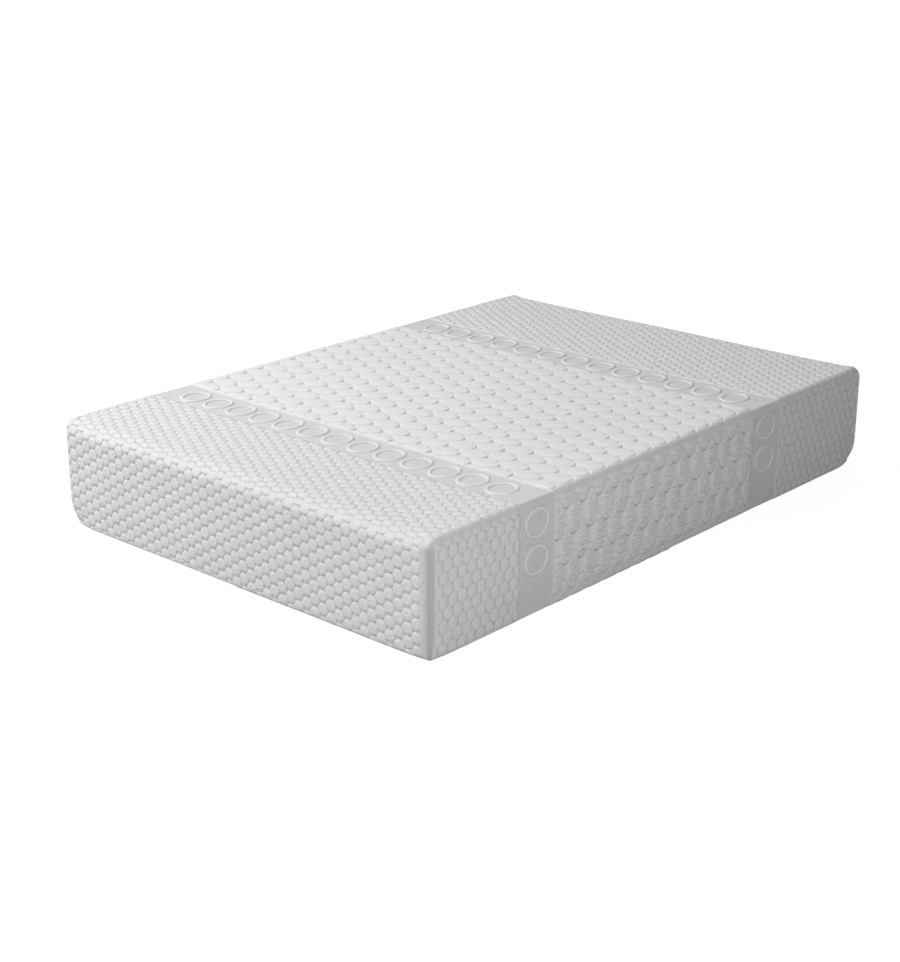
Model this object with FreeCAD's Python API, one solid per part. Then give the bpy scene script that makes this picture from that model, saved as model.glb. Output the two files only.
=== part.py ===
import FreeCAD, Part
import os

from FreeCAD import Vector

# A double memory foam mattress: three foam layers in a thin sock, inside a thick knitted cover
# whose underside unzips.  Millimetres.  The origin is the middle of the underside, X runs along
# the bed from the foot end to the head end, Y across it, and Z up.

# ---- overall size -------------------------------------------------------------------------------
length = 1900.0
width = 1350.0
height = 300.0
corner_radius = 26.0         # upright edges of the outer shape
top_radius = 20.0            # edge round the top panel
bottom_radius = 12.0         # edge round the underside

# ---- cover --------------------------------------------------------------------------------------
cover_thickness = 7.0        # padded knit, top and walls
base_thickness = 3.0         # plain underside, and the knit turned under it
turn_under = 45.0            # how far the knit runs in under the two sewn sides
seam_width = 3.0
seam_depth = 1.0
fit_gap = 0.3                # between one loose layer and the next

# ---- inner sock and foam ------------------------------------------------------------------------
sock_thickness = 1.0
sock_seam_width = 4.0
memory_foam_height = 50.0
transition_foam_height = 50.0
adhesive_height = 0.4
channel_pitch = 95.0         # air channels across the top of the middle layer
channel_width = 8.0
channel_depth = 6.0

# ---- zip, along the +Y side and the +X end ------------------------------------------------------
zip_margin = 45.0            # from each end of the zip to the corner beside it
zip_bottom = 14.0            # lower edge of the slot that the zip fills
tape_visible = 7.0           # tape on show each side of the chain
tape_thickness = 0.7
tape_inset = 2.6             # tape's outer face, in from the cover's face
chain_width = 7.0
chain_thickness = 2.4
chain_gap = 1.6              # between the two coils, where the slider's wedge runs
stitch_width = 1.0
stitch_proud = 0.4
stitch_offset = 3.0          # from the slot's edge to the stitch row
stop_length = 3.0
tab_length = 22.0            # folded fabric tab over each end of the zip
tab_thickness = 1.2

# ---- slider and puller --------------------------------------------------------------------------
slider_length = 13.0
slider_gap = 0.4             # running clearance round the tape and chain
slider_plate = 1.2
slider_flange = 1.0
wedge_width = 1.0
wedge_length = 4.0
slider_rest_gap = 6.0        # from the end tab to the slider when the zip is closed
bail_length = 7.0
bail_width = 1.6
bail_wall = 0.9
pin_radius = 0.6
pin_gap = 0.3
puller_length = 24.0
puller_width = 8.0
puller_thickness = 1.2
puller_arm = 1.2
puller_hole_radius = 1.8

# ---- care label, on the +X end ------------------------------------------------------------------
label_width = 60.0
label_height = 40.0
label_thickness = 0.5
label_bottom = 70.0
label_from_corner = 160.0
label_stitch_inset = 3.0

# ---- worked out from the sizes above ------------------------------------------------------------
half_length = length / 2
half_width = width / 2
zip_top = zip_bottom + chain_width + 2 * tape_visible
zip_middle = (zip_bottom + zip_top) / 2
chain_out = tape_inset - chain_thickness          # chain's outer face, in from the cover's face
zip_start_x = -half_length + zip_margin
zip_end_y = -half_width + zip_margin
zip_strip = max(turn_under, corner_radius + 1)     # how deep the zipped sides are cut in plan

core_inset = cover_thickness + sock_thickness + 2 * fit_gap
core_bottom = base_thickness + sock_thickness
core_top = height - core_inset
core_corner = max(corner_radius - core_inset, 1.0)
core_edge = min(max(top_radius - core_inset, 0.5), 0.9 * core_corner)
base_foam_height = (core_top - core_bottom - memory_foam_height - transition_foam_height
                    - 2 * adhesive_height)


def save(shape, node):
    shape.exportStep(f"parts/{node}.step")


def box(low, high):
    """A box from its lowest corner to its highest."""
    size = Vector(*high) - Vector(*low)
    return Part.makeBox(size.x, size.y, size.z, Vector(*low))


def level_edges(shape, z):
    """The edges that lie flat at height z."""
    return [e for e in shape.Edges
            if abs(e.BoundBox.ZMin - z) < 1e-6 and abs(e.BoundBox.ZMax - z) < 1e-6]


def rounded_block(inset, z_low, z_high, corner, top=0.0, bottom=0.0):
    """The mattress's plan, drawn in by inset, between two heights, with rounded edges."""
    block = box((-half_length + inset, -half_width + inset, z_low),
                (half_length - inset, half_width - inset, z_high))
    upright = [e for e in block.Edges if e.BoundBox.ZLength > (z_high - z_low) / 2]
    block = block.makeFillet(corner, upright)
    if top:
        block = block.makeFillet(top, level_edges(block, z_high))
    if bottom:
        block = block.makeFillet(bottom, level_edges(block, z_low))
    return block


def wall_band(outer_inset, inner_inset, z_low, z_high):
    """A band that follows the walls all the way round, between two depths and two heights."""
    outer = rounded_block(outer_inset, z_low, z_high, corner_radius - outer_inset)
    inner = rounded_block(inner_inset, z_low - 1, z_high + 1, corner_radius - inner_inset)
    return outer.cut(inner)


def zipped_sides(z_low, z_high, end_gap=0.0):
    """The L-shaped zone in plan that holds the zip: along the +Y side, then down the +X end."""
    beyond = 20.0
    side = box((zip_start_x + end_gap, half_width - zip_strip, z_low),
               (half_length + beyond, half_width + beyond, z_high))
    end = box((half_length - zip_strip, zip_end_y + end_gap, z_low),
              (half_length + beyond, half_width + beyond, z_high))
    return side.fuse(end)


def zip_band(outer_inset, inner_inset, z_low, z_high, end_gap=0.0):
    """A band along the two zipped sides only."""
    return wall_band(outer_inset, inner_inset, z_low, z_high).common(
        zipped_sides(z_low - 1, z_high + 1, end_gap))


# ---- foam core ----------------------------------------------------------------------------------
def make_base_foam():
    return rounded_block(core_inset, core_bottom, core_bottom + base_foam_height, core_corner)


def make_transition_foam():
    low = core_bottom + base_foam_height + adhesive_height
    high = low + transition_foam_height
    layer = rounded_block(core_inset, low, high, core_corner)
    count = int((length - 2 * core_inset) / channel_pitch)
    first = -(count - 1) * channel_pitch / 2
    for number in range(count):
        x = first + number * channel_pitch
        layer = layer.cut(box((x - channel_width / 2, -width, high - channel_depth),
                              (x + channel_width / 2, width, high + 1)))
    return layer


def make_memory_foam():
    return rounded_block(core_inset, core_top - memory_foam_height, core_top, core_corner, top=core_edge)


def make_adhesive(above):
    """A film of glue, a little short of the foam's edge."""
    return rounded_block(core_inset + 2, above, above + adhesive_height, max(core_corner - 2, 1.0))


# ---- inner sock ---------------------------------------------------------------------------------
def make_inner_sock():
    """Top and walls of the sock, open underneath."""
    outside = cover_thickness + fit_gap
    inside = outside + sock_thickness
    outer_corner = max(corner_radius - outside, 1.5)
    inner_corner = max(corner_radius - inside, 1.0)
    outer = rounded_block(outside, core_bottom, height - outside, outer_corner,
                          top=min(core_edge + sock_thickness, 0.9 * outer_corner))
    inner = rounded_block(inside, core_bottom - 1, height - inside, inner_corner,
                          top=min(core_edge, 0.9 * inner_corner))
    return outer.cut(inner)


def make_inner_sock_base():
    outside = cover_thickness + fit_gap
    return rounded_block(outside, base_thickness, core_bottom, max(corner_radius - outside, 1.5))


def make_inner_sock_seam():
    """Overlocked edge that joins the sock's walls to its base, in the gap behind the cover."""
    outside = cover_thickness + fit_gap
    return wall_band(cover_thickness, outside, core_bottom - sock_seam_width / 4,
                     core_bottom + sock_seam_width)


# ---- cover --------------------------------------------------------------------------------------
def make_cover_shell():
    """The whole cover as one bag, before it is divided at the zip and the base seam."""
    outer = rounded_block(0, 0, height, corner_radius, top=min(top_radius, 0.9 * corner_radius),
                          bottom=min(bottom_radius, 0.9 * corner_radius))
    inner_corner = max(corner_radius - cover_thickness, 2.0)
    inner_top = min(core_edge + sock_thickness, 0.9 * inner_corner)
    cavity = rounded_block(cover_thickness, base_thickness, height - cover_thickness, inner_corner,
                           top=inner_top)
    return outer.cut(cavity)


def base_zone():
    """What belongs to the underside: the floor inside the turned-under knit, and the wall
    below the zip."""
    floor = box((-half_length + turn_under, -half_width + turn_under, -1),
                (half_length + 1, half_width + 1, base_thickness))
    beyond_start = box((-half_length - 1, half_width - zip_strip, -1),
                       (zip_start_x, half_width + 1, base_thickness))
    beyond_end = box((half_length - zip_strip, -half_width - 1, -1),
                     (half_length + 1, zip_end_y, base_thickness))
    return floor.cut(beyond_start).cut(beyond_end).fuse(zipped_sides(-1, zip_bottom))


def base_seam_strip():
    """The sewn line on the underside, between the turned-under knit and the plain panel."""
    half = seam_width / 2
    x_line = -half_length + turn_under
    y_line = -half_width + turn_under
    foot = box((x_line - half, y_line - half, 0), (x_line + half, half_width - zip_strip, seam_depth))
    side = box((x_line - half, y_line - half, 0), (half_length - zip_strip, y_line + half, seam_depth))
    return foot.fuse(side)


def corner_seam_strip(x_sign, y_sign):
    """An upright sewn line, let into the long side where the corner's curve begins."""
    x = x_sign * (half_length - corner_radius)
    low = bottom_radius
    if x_sign > 0 and y_sign > 0:
        low = zip_top + stitch_offset + 2 * stitch_width
    face = y_sign * half_width
    inner = face - y_sign * seam_depth
    return box((x - seam_width / 2, min(face, inner), low),
               (x + seam_width / 2, max(face, inner), height - top_radius))


corners = {"foot_left": (-1, 1), "foot_right": (-1, -1), "head_left": (1, 1), "head_right": (1, -1)}


def make_cover_top(shell):
    top = shell.cut(base_zone()).cut(zipped_sides(zip_bottom, zip_top)).cut(base_seam_strip())
    for x_sign, y_sign in corners.values():
        top = top.cut(corner_seam_strip(x_sign, y_sign))
    return top


def make_base_panel(shell):
    return shell.common(base_zone()).cut(base_seam_strip())


# ---- zip ----------------------------------------------------------------------------------------
def make_zip_tape(upper):
    low, high = (zip_middle + chain_gap / 2, zip_top) if upper else (zip_bottom, zip_middle - chain_gap / 2)
    return zip_band(tape_inset, tape_inset + tape_thickness, low, high)


def make_zip_coil(upper):
    half = chain_width / 2
    low, high = (chain_gap / 2, half) if upper else (-half, -chain_gap / 2)
    return zip_band(chain_out, tape_inset, zip_middle + low, zip_middle + high,
                    end_gap=tab_length / 2 + stop_length)


def make_zip_end_stops():
    """A moulded stop on the tape at each end of the chain."""
    half = chain_width / 2
    first = box((zip_start_x + tab_length / 2, half_width - tape_inset, zip_middle - half),
                (zip_start_x + tab_length / 2 + stop_length, half_width - chain_out, zip_middle + half))
    last = box((half_length - tape_inset, zip_end_y + tab_length / 2, zip_middle - half),
               (half_length - chain_out, zip_end_y + tab_length / 2 + stop_length, zip_middle + half))
    return Part.makeCompound([first, last])


def make_zip_end_tabs():
    """A fabric tab over each end of the zip, sewn to the cover's face."""
    low = zip_bottom - 2
    high = zip_top + 2
    first = box((zip_start_x - tab_length / 2, half_width, low),
                (zip_start_x + tab_length / 2, half_width + tab_thickness, high))
    last = box((half_length, zip_end_y - tab_length / 2, low),
               (half_length + tab_thickness, zip_end_y + tab_length / 2, high))
    return Part.makeCompound([first, last])


def make_zip_stitching(upper):
    z = zip_top + stitch_offset if upper else zip_bottom - stitch_offset
    low = z - stitch_width / 2
    return zip_band(-stitch_proud, 0, low, low + stitch_width, end_gap=tab_length / 2)


# ---- slider and puller --------------------------------------------------------------------------
slider_x = zip_start_x + tab_length / 2 + stop_length + slider_rest_gap
plate_inner = half_width - chain_out + slider_gap
plate_outer = plate_inner + slider_plate
wing_outer = half_width - tape_inset - tape_thickness - slider_gap
pin_y = plate_outer + pin_gap + pin_radius
pin_x = slider_x + slider_length / 2


def make_zip_slider():
    """Outer plate with its two flanges, inner wing, the wedge that joins them, and the bail."""
    half_plate = chain_width / 2 + slider_gap + slider_flange
    half_wing = half_plate - slider_flange / 2
    end_x = slider_x + slider_length
    body = box((slider_x, plate_inner, zip_middle - half_plate), (end_x, plate_outer, zip_middle + half_plate))
    body = body.makeFillet(1.0, [e for e in body.Edges if e.BoundBox.YLength > slider_plate / 2])
    flange_inner = half_width - tape_inset + slider_gap
    for sign in (-1, 1):
        edge = zip_middle + sign * half_plate
        inside = edge - sign * slider_flange
        body = body.fuse(box((slider_x + 1, flange_inner, min(edge, inside)),
                             (end_x - 1, plate_inner + slider_plate / 2, max(edge, inside))))
    wing = box((slider_x, wing_outer - slider_plate, zip_middle - half_wing),
               (end_x, wing_outer, zip_middle + half_wing))
    wing = wing.makeFillet(1.0, [e for e in wing.Edges if e.BoundBox.YLength > slider_plate / 2])
    wedge = box((slider_x + 1, wing_outer - slider_plate / 2, zip_middle - wedge_width / 2),
                (slider_x + 1 + wedge_length, plate_inner + slider_plate / 2, zip_middle + wedge_width / 2))
    reach = pin_y + pin_radius + pin_gap
    bail = box((pin_x - bail_length / 2, plate_outer - slider_plate / 2, zip_middle - bail_width / 2),
               (pin_x + bail_length / 2, reach + bail_wall, zip_middle + bail_width / 2))
    window = box((pin_x - bail_length / 2 + bail_wall, plate_outer, zip_middle - bail_width),
                 (pin_x + bail_length / 2 - bail_wall, reach, zip_middle + bail_width))
    return body.fuse(wing).fuse(wedge).fuse(bail.cut(window)).removeSplitter()


def make_zip_puller():
    """A pin through the bail, two arms, and a pull tab with a hole, lying back along the zip."""
    inner = bail_width / 2 + pin_gap
    outer = inner + puller_arm
    pin = Part.makeCylinder(pin_radius, 2 * outer, Vector(pin_x, pin_y, zip_middle - outer))
    low = pin_y - puller_thickness / 2
    high = pin_y + puller_thickness / 2
    tab_start = pin_x + bail_length / 2 + pin_gap + 1
    pull = pin
    for sign in (-1, 1):
        near = zip_middle + sign * inner
        far = zip_middle + sign * outer
        pull = pull.fuse(box((pin_x - pin_radius, low, min(near, far)),
                             (tab_start + 1, high, max(near, far))))
    half = puller_width / 2
    tab = box((tab_start, low, zip_middle - half), (pin_x + puller_length, high, zip_middle + half))
    tab = tab.makeFillet(min(2.0, half / 2), [e for e in tab.Edges if e.BoundBox.YLength > puller_thickness / 2])
    hole_x = pin_x + puller_length - half
    hole = Part.makeCylinder(puller_hole_radius, puller_thickness + 2,
                             Vector(hole_x, low - 1, zip_middle), Vector(0, 1, 0))
    return pull.fuse(tab).cut(hole).removeSplitter()


# ---- care label ---------------------------------------------------------------------------------
def label_plate(inset, low_x, high_x):
    """A flat rectangle on the +X end, drawn in from the label's edge by inset."""
    y_high = half_width - label_from_corner
    return box((low_x, y_high - label_width + inset, label_bottom + inset),
               (high_x, y_high - inset, label_bottom + label_height - inset))


def make_care_label():
    return label_plate(0, half_length, half_length + label_thickness)


def make_care_label_stitching():
    face = half_length + label_thickness
    outer = label_plate(label_stitch_inset, face, face + stitch_proud)
    inner = label_plate(label_stitch_inset + stitch_width, face - 1, face + 1)
    return outer.cut(inner)


# ---- write every piece --------------------------------------------------------------------------
os.makedirs("parts", exist_ok=True)

save(make_base_foam(), "base_foam_layer")
save(make_adhesive(core_bottom + base_foam_height), "adhesive_lower")
save(make_transition_foam(), "transition_foam_layer")
save(make_adhesive(core_top - memory_foam_height - adhesive_height), "adhesive_upper")
save(make_memory_foam(), "memory_foam_layer")
save(make_inner_sock(), "inner_sock")
save(make_inner_sock_base(), "inner_sock_base")
save(make_inner_sock_seam(), "inner_sock_seam")

cover_shell = make_cover_shell()
save(make_cover_top(cover_shell), "cover_top")
save(make_base_panel(cover_shell), "base_panel")
save(base_seam_strip(), "base_seam")
for name, (x_sign, y_sign) in corners.items():
    save(corner_seam_strip(x_sign, y_sign), f"corner_seam_{name}")

for upper, name in ((True, "upper"), (False, "lower")):
    save(make_zip_tape(upper), f"zip_tape_{name}")
    save(make_zip_coil(upper), f"zip_coil_{name}")
    save(make_zip_stitching(upper), f"zip_stitching_{name}")
save(make_zip_end_stops(), "zip_end_stops")
save(make_zip_end_tabs(), "zip_end_tabs")
save(make_zip_slider(), "zip_slider")
save(make_zip_puller(), "zip_puller")
save(make_care_label(), "care_label")
save(make_care_label_stitching(), "care_label_stitching")
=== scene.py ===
"""Memory foam mattress: knitted cover, zip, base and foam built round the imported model."""
import logging
import math
from dataclasses import dataclass, field
from enum import Enum

import bmesh
import bpy
import numpy as np
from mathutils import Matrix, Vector


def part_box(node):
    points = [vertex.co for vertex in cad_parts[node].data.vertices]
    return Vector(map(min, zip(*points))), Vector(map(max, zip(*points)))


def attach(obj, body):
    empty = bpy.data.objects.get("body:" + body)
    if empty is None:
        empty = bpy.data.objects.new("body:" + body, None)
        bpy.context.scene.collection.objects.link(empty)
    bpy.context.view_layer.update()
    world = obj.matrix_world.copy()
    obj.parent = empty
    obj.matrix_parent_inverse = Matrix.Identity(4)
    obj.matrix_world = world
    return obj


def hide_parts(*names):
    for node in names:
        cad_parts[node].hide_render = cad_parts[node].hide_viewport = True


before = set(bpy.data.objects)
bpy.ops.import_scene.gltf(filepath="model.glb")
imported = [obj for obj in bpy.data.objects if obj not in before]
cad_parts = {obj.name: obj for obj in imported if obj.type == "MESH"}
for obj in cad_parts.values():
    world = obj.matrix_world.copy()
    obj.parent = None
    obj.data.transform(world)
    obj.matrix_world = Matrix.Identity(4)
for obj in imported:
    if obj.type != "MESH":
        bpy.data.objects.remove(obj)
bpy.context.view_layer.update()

LOG = logging.getLogger("mattress")
Array = np.ndarray


# ---- places that everything follows --------------------------------------------------------------
@dataclass(frozen=True)
class MattressBox:
    """Outer box of the cover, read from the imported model, in metres."""

    low: Vector
    high: Vector

    @classmethod
    def from_cover(cls) -> "MattressBox":
        """Reads the box of the cover's solid."""
        low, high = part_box("cover_top")
        return cls(Vector(low), Vector(high))

    @property
    def half_length(self) -> float:
        """Half the length, along X."""
        return (self.high.x - self.low.x) / 2

    @property
    def half_width(self) -> float:
        """Half the width, along Y."""
        return (self.high.y - self.low.y) / 2

    @property
    def height(self) -> float:
        """Height above the surface that it lies on."""
        return self.high.z


BOX = MattressBox.from_cover()


@dataclass(frozen=True)
class KnitLayout:
    """Where each pattern of the knit runs, and the repeat of each, in metres of cloth."""

    foot_bubbles: float = 0.312
    band: float = 0.134
    head_bubbles: float = 0.450
    bubble_pitch: float = 0.03284
    bubble_row: float = 0.028
    bubble_half_length: float = 0.0152
    bubble_half_width: float = 0.0175
    neck_radius: float = 0.0042
    cell_pitch: float = 0.06525
    cell_row: float = 0.068
    cell_half_width: float = 0.0245
    cell_straight: float = 0.015
    cell_tip: float = 0.031
    top_level: float = 0.70
    wall_level: float = 0.28
    crease_width: float = 0.13
    crease_depth: float = 1.05
    mesh_pitch: float = 0.0078
    wall_stretch: float = 1.07
    pillow_power: float = 2.4
    neck_height: float = 0.45
    cell_power: int = 3
    cell_round: float = 0.7
    crease_centre: float = 1.06
    crease_power: float = 1.5
    upper_crease: float = 0.4
    crease_turn: float = 0.004
    crease_start: float = 0.35
    crease_full: float = 0.85

    @property
    def foot_band_start(self) -> float:
        """Where the bubbles of the foot end stop."""
        return -BOX.half_length + self.foot_bubbles

    @property
    def foot_band_end(self) -> float:
        """Where the foot band meets the cells."""
        return self.foot_band_start + self.band

    @property
    def head_band_end(self) -> float:
        """Where the bubbles of the head end start."""
        return BOX.half_length - self.head_bubbles

    @property
    def head_band_start(self) -> float:
        """Where the cells meet the head band."""
        return self.head_band_end - self.band

    @property
    def edges(self) -> tuple[float, float, float, float]:
        """The four lines where one pattern gives way to the next, from foot to head."""
        return self.foot_band_start, self.foot_band_end, self.head_band_start, self.head_band_end

    @property
    def onto_wall(self) -> tuple[float, float]:
        """Where, across the bed, the ground of the cells starts and ends its drop onto the wall."""
        return BOX.half_width - 0.01, BOX.half_width + 0.02


KNIT = KnitLayout()


def smooth_step(low: float, high: float, value: Array) -> Array:
    """Rises smoothly from 0 at low to 1 at high.

    Args:
        low: value where the step starts.
        high: value where it ends; lower than low for a falling step.
        value: values to map.

    Returns:
        The step, from 0 to 1.
    """
    t = np.clip((value - low) / (high - low), 0.0, 1.0)
    return t * t * (3.0 - 2.0 * t)


# ---- relief of the knit, as heights from 0 to 1 --------------------------------------------------
def bubble_relief(u: Array, v: Array) -> Array:
    """Rows of round pillows, each row half a pitch along from the last, joined by small necks.

    Args:
        u: cloth coordinate along the bed.
        v: cloth coordinate across it.

    Returns:
        Height from 0 to 1.
    """
    rows = v / KNIT.bubble_row
    heights = []
    for side in (-0.5, 0.5):
        near = np.floor(rows - side)
        dv = (rows - near - 0.5) * KNIT.bubble_row
        along = u / KNIT.bubble_pitch + 0.5 * np.mod(near, 2.0)
        du = (along - np.floor(along) - 0.5) * KNIT.bubble_pitch
        reach = (du / KNIT.bubble_half_length) ** 2 + (dv / KNIT.bubble_half_width) ** 2
        heights.append(np.clip(1.0 - reach ** KNIT.pillow_power, 0.0, 1.0) ** 0.5)
        to_neck = np.hypot(KNIT.bubble_pitch / 2 - np.abs(du), dv) / KNIT.neck_radius
        heights.append(KNIT.neck_height * np.clip(1.0 - to_neck ** 2, 0.0, 1.0) ** 0.5)
    return np.max(heights, axis=0)


def cell_shape(du: Array, dv: Array) -> tuple[Array, Array]:
    """Dome and tip crease of one long cell.

    Args:
        du: offset from the cell's centre along the bed.
        dv: offset across it.

    Returns:
        Dome from 0 to 1, and the crease round its two rounded tips, from 0 to 1.
    """
    x, y = np.abs(du), np.abs(dv)
    past = np.maximum(y - KNIT.cell_straight, 0.0)
    reach = np.hypot(x / KNIT.cell_half_width, past / KNIT.cell_tip)
    dome = np.clip(1.0 - reach ** KNIT.cell_power, 0.0, 1.0) ** KNIT.cell_round
    off = np.abs(reach - KNIT.crease_centre) / KNIT.crease_width
    crease = np.clip(1.0 - off, 0.0, 1.0) ** KNIT.crease_power
    lower = smooth_step(KNIT.crease_turn, -KNIT.crease_turn, dv)
    tip = KNIT.upper_crease + (1 - KNIT.upper_crease) * lower
    return dome, crease * tip * smooth_step(KNIT.crease_start, KNIT.crease_full, past / KNIT.cell_tip)


def cell_relief(u: Array, v: Array) -> Array:
    """Long cells like brickwork on a flatter ground, with deep creases at their tips.

    Args:
        u: cloth coordinate along the bed.
        v: cloth coordinate across it.

    Returns:
        Height, from about -0.4 in a crease to 1 on a cell.
    """
    shapes = []
    for shift in (0.0, 0.5):
        along, across = u / KNIT.cell_pitch - shift, v / (2 * KNIT.cell_row) - shift
        shapes.append(cell_shape((along - np.round(along)) * KNIT.cell_pitch,
                                 (across - np.round(across)) * 2 * KNIT.cell_row))
    dome = np.maximum(shapes[0][0], shapes[1][0])
    crease = np.maximum(shapes[0][1], shapes[1][1])
    on_wall = smooth_step(*KNIT.onto_wall, np.abs(v))
    level = KNIT.top_level + (KNIT.wall_level - KNIT.top_level) * on_wall
    return level + (1 - level) * dome - KNIT.crease_depth * crease * (1 - dome)


# ---- meshes --------------------------------------------------------------------------------------
def mesh_from_arrays(name: str, points: Array, faces: list, uvs: Array | None = None) -> bpy.types.Object:
    """Makes a mesh object from arrays.

    Args:
        name: the piece's name.
        points: vertex positions, one row each.
        faces: one array of vertex numbers per kind of face, such as quads.
        uvs: cloth coordinates of each face corner, in order.

    Returns:
        The new object, at the origin.
    """
    mesh = bpy.data.meshes.new(name)
    sizes = np.concatenate([np.full(len(block), block.shape[1]) for block in faces])
    loops = np.concatenate([block.ravel() for block in faces])
    mesh.vertices.add(len(points))
    mesh.vertices.foreach_set("co", np.asarray(points, np.float32).ravel())
    mesh.loops.add(len(loops))
    mesh.loops.foreach_set("vertex_index", loops.astype(np.int32))
    mesh.polygons.add(len(sizes))
    starts = np.concatenate([[0], np.cumsum(sizes)[:-1]])
    mesh.polygons.foreach_set("loop_start", starts.astype(np.int32))
    mesh.polygons.foreach_set("use_smooth", np.ones(len(sizes), bool))
    if uvs is not None:
        layer = mesh.uv_layers.new(name="cloth")
        layer.data.foreach_set("uv", np.asarray(uvs, np.float32).ravel())
    mesh.update()
    mesh.validate()
    piece = bpy.data.objects.new(name, mesh)
    bpy.context.scene.collection.objects.link(piece)
    return piece


def even_lines(*stretches: tuple[float, float], step: float) -> Array:
    """Grid lines over stretches laid end to end, each divided evenly.

    Args:
        stretches: (start, end) of each.
        step: spacing to come near.

    Returns:
        Line positions in order.
    """
    lines = [np.array([stretches[0][0]])]
    for start, end in stretches:
        count = max(1, round((end - start) / step))
        lines.append(np.linspace(start, end, count + 1)[1:])
    return np.concatenate(lines)


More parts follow.
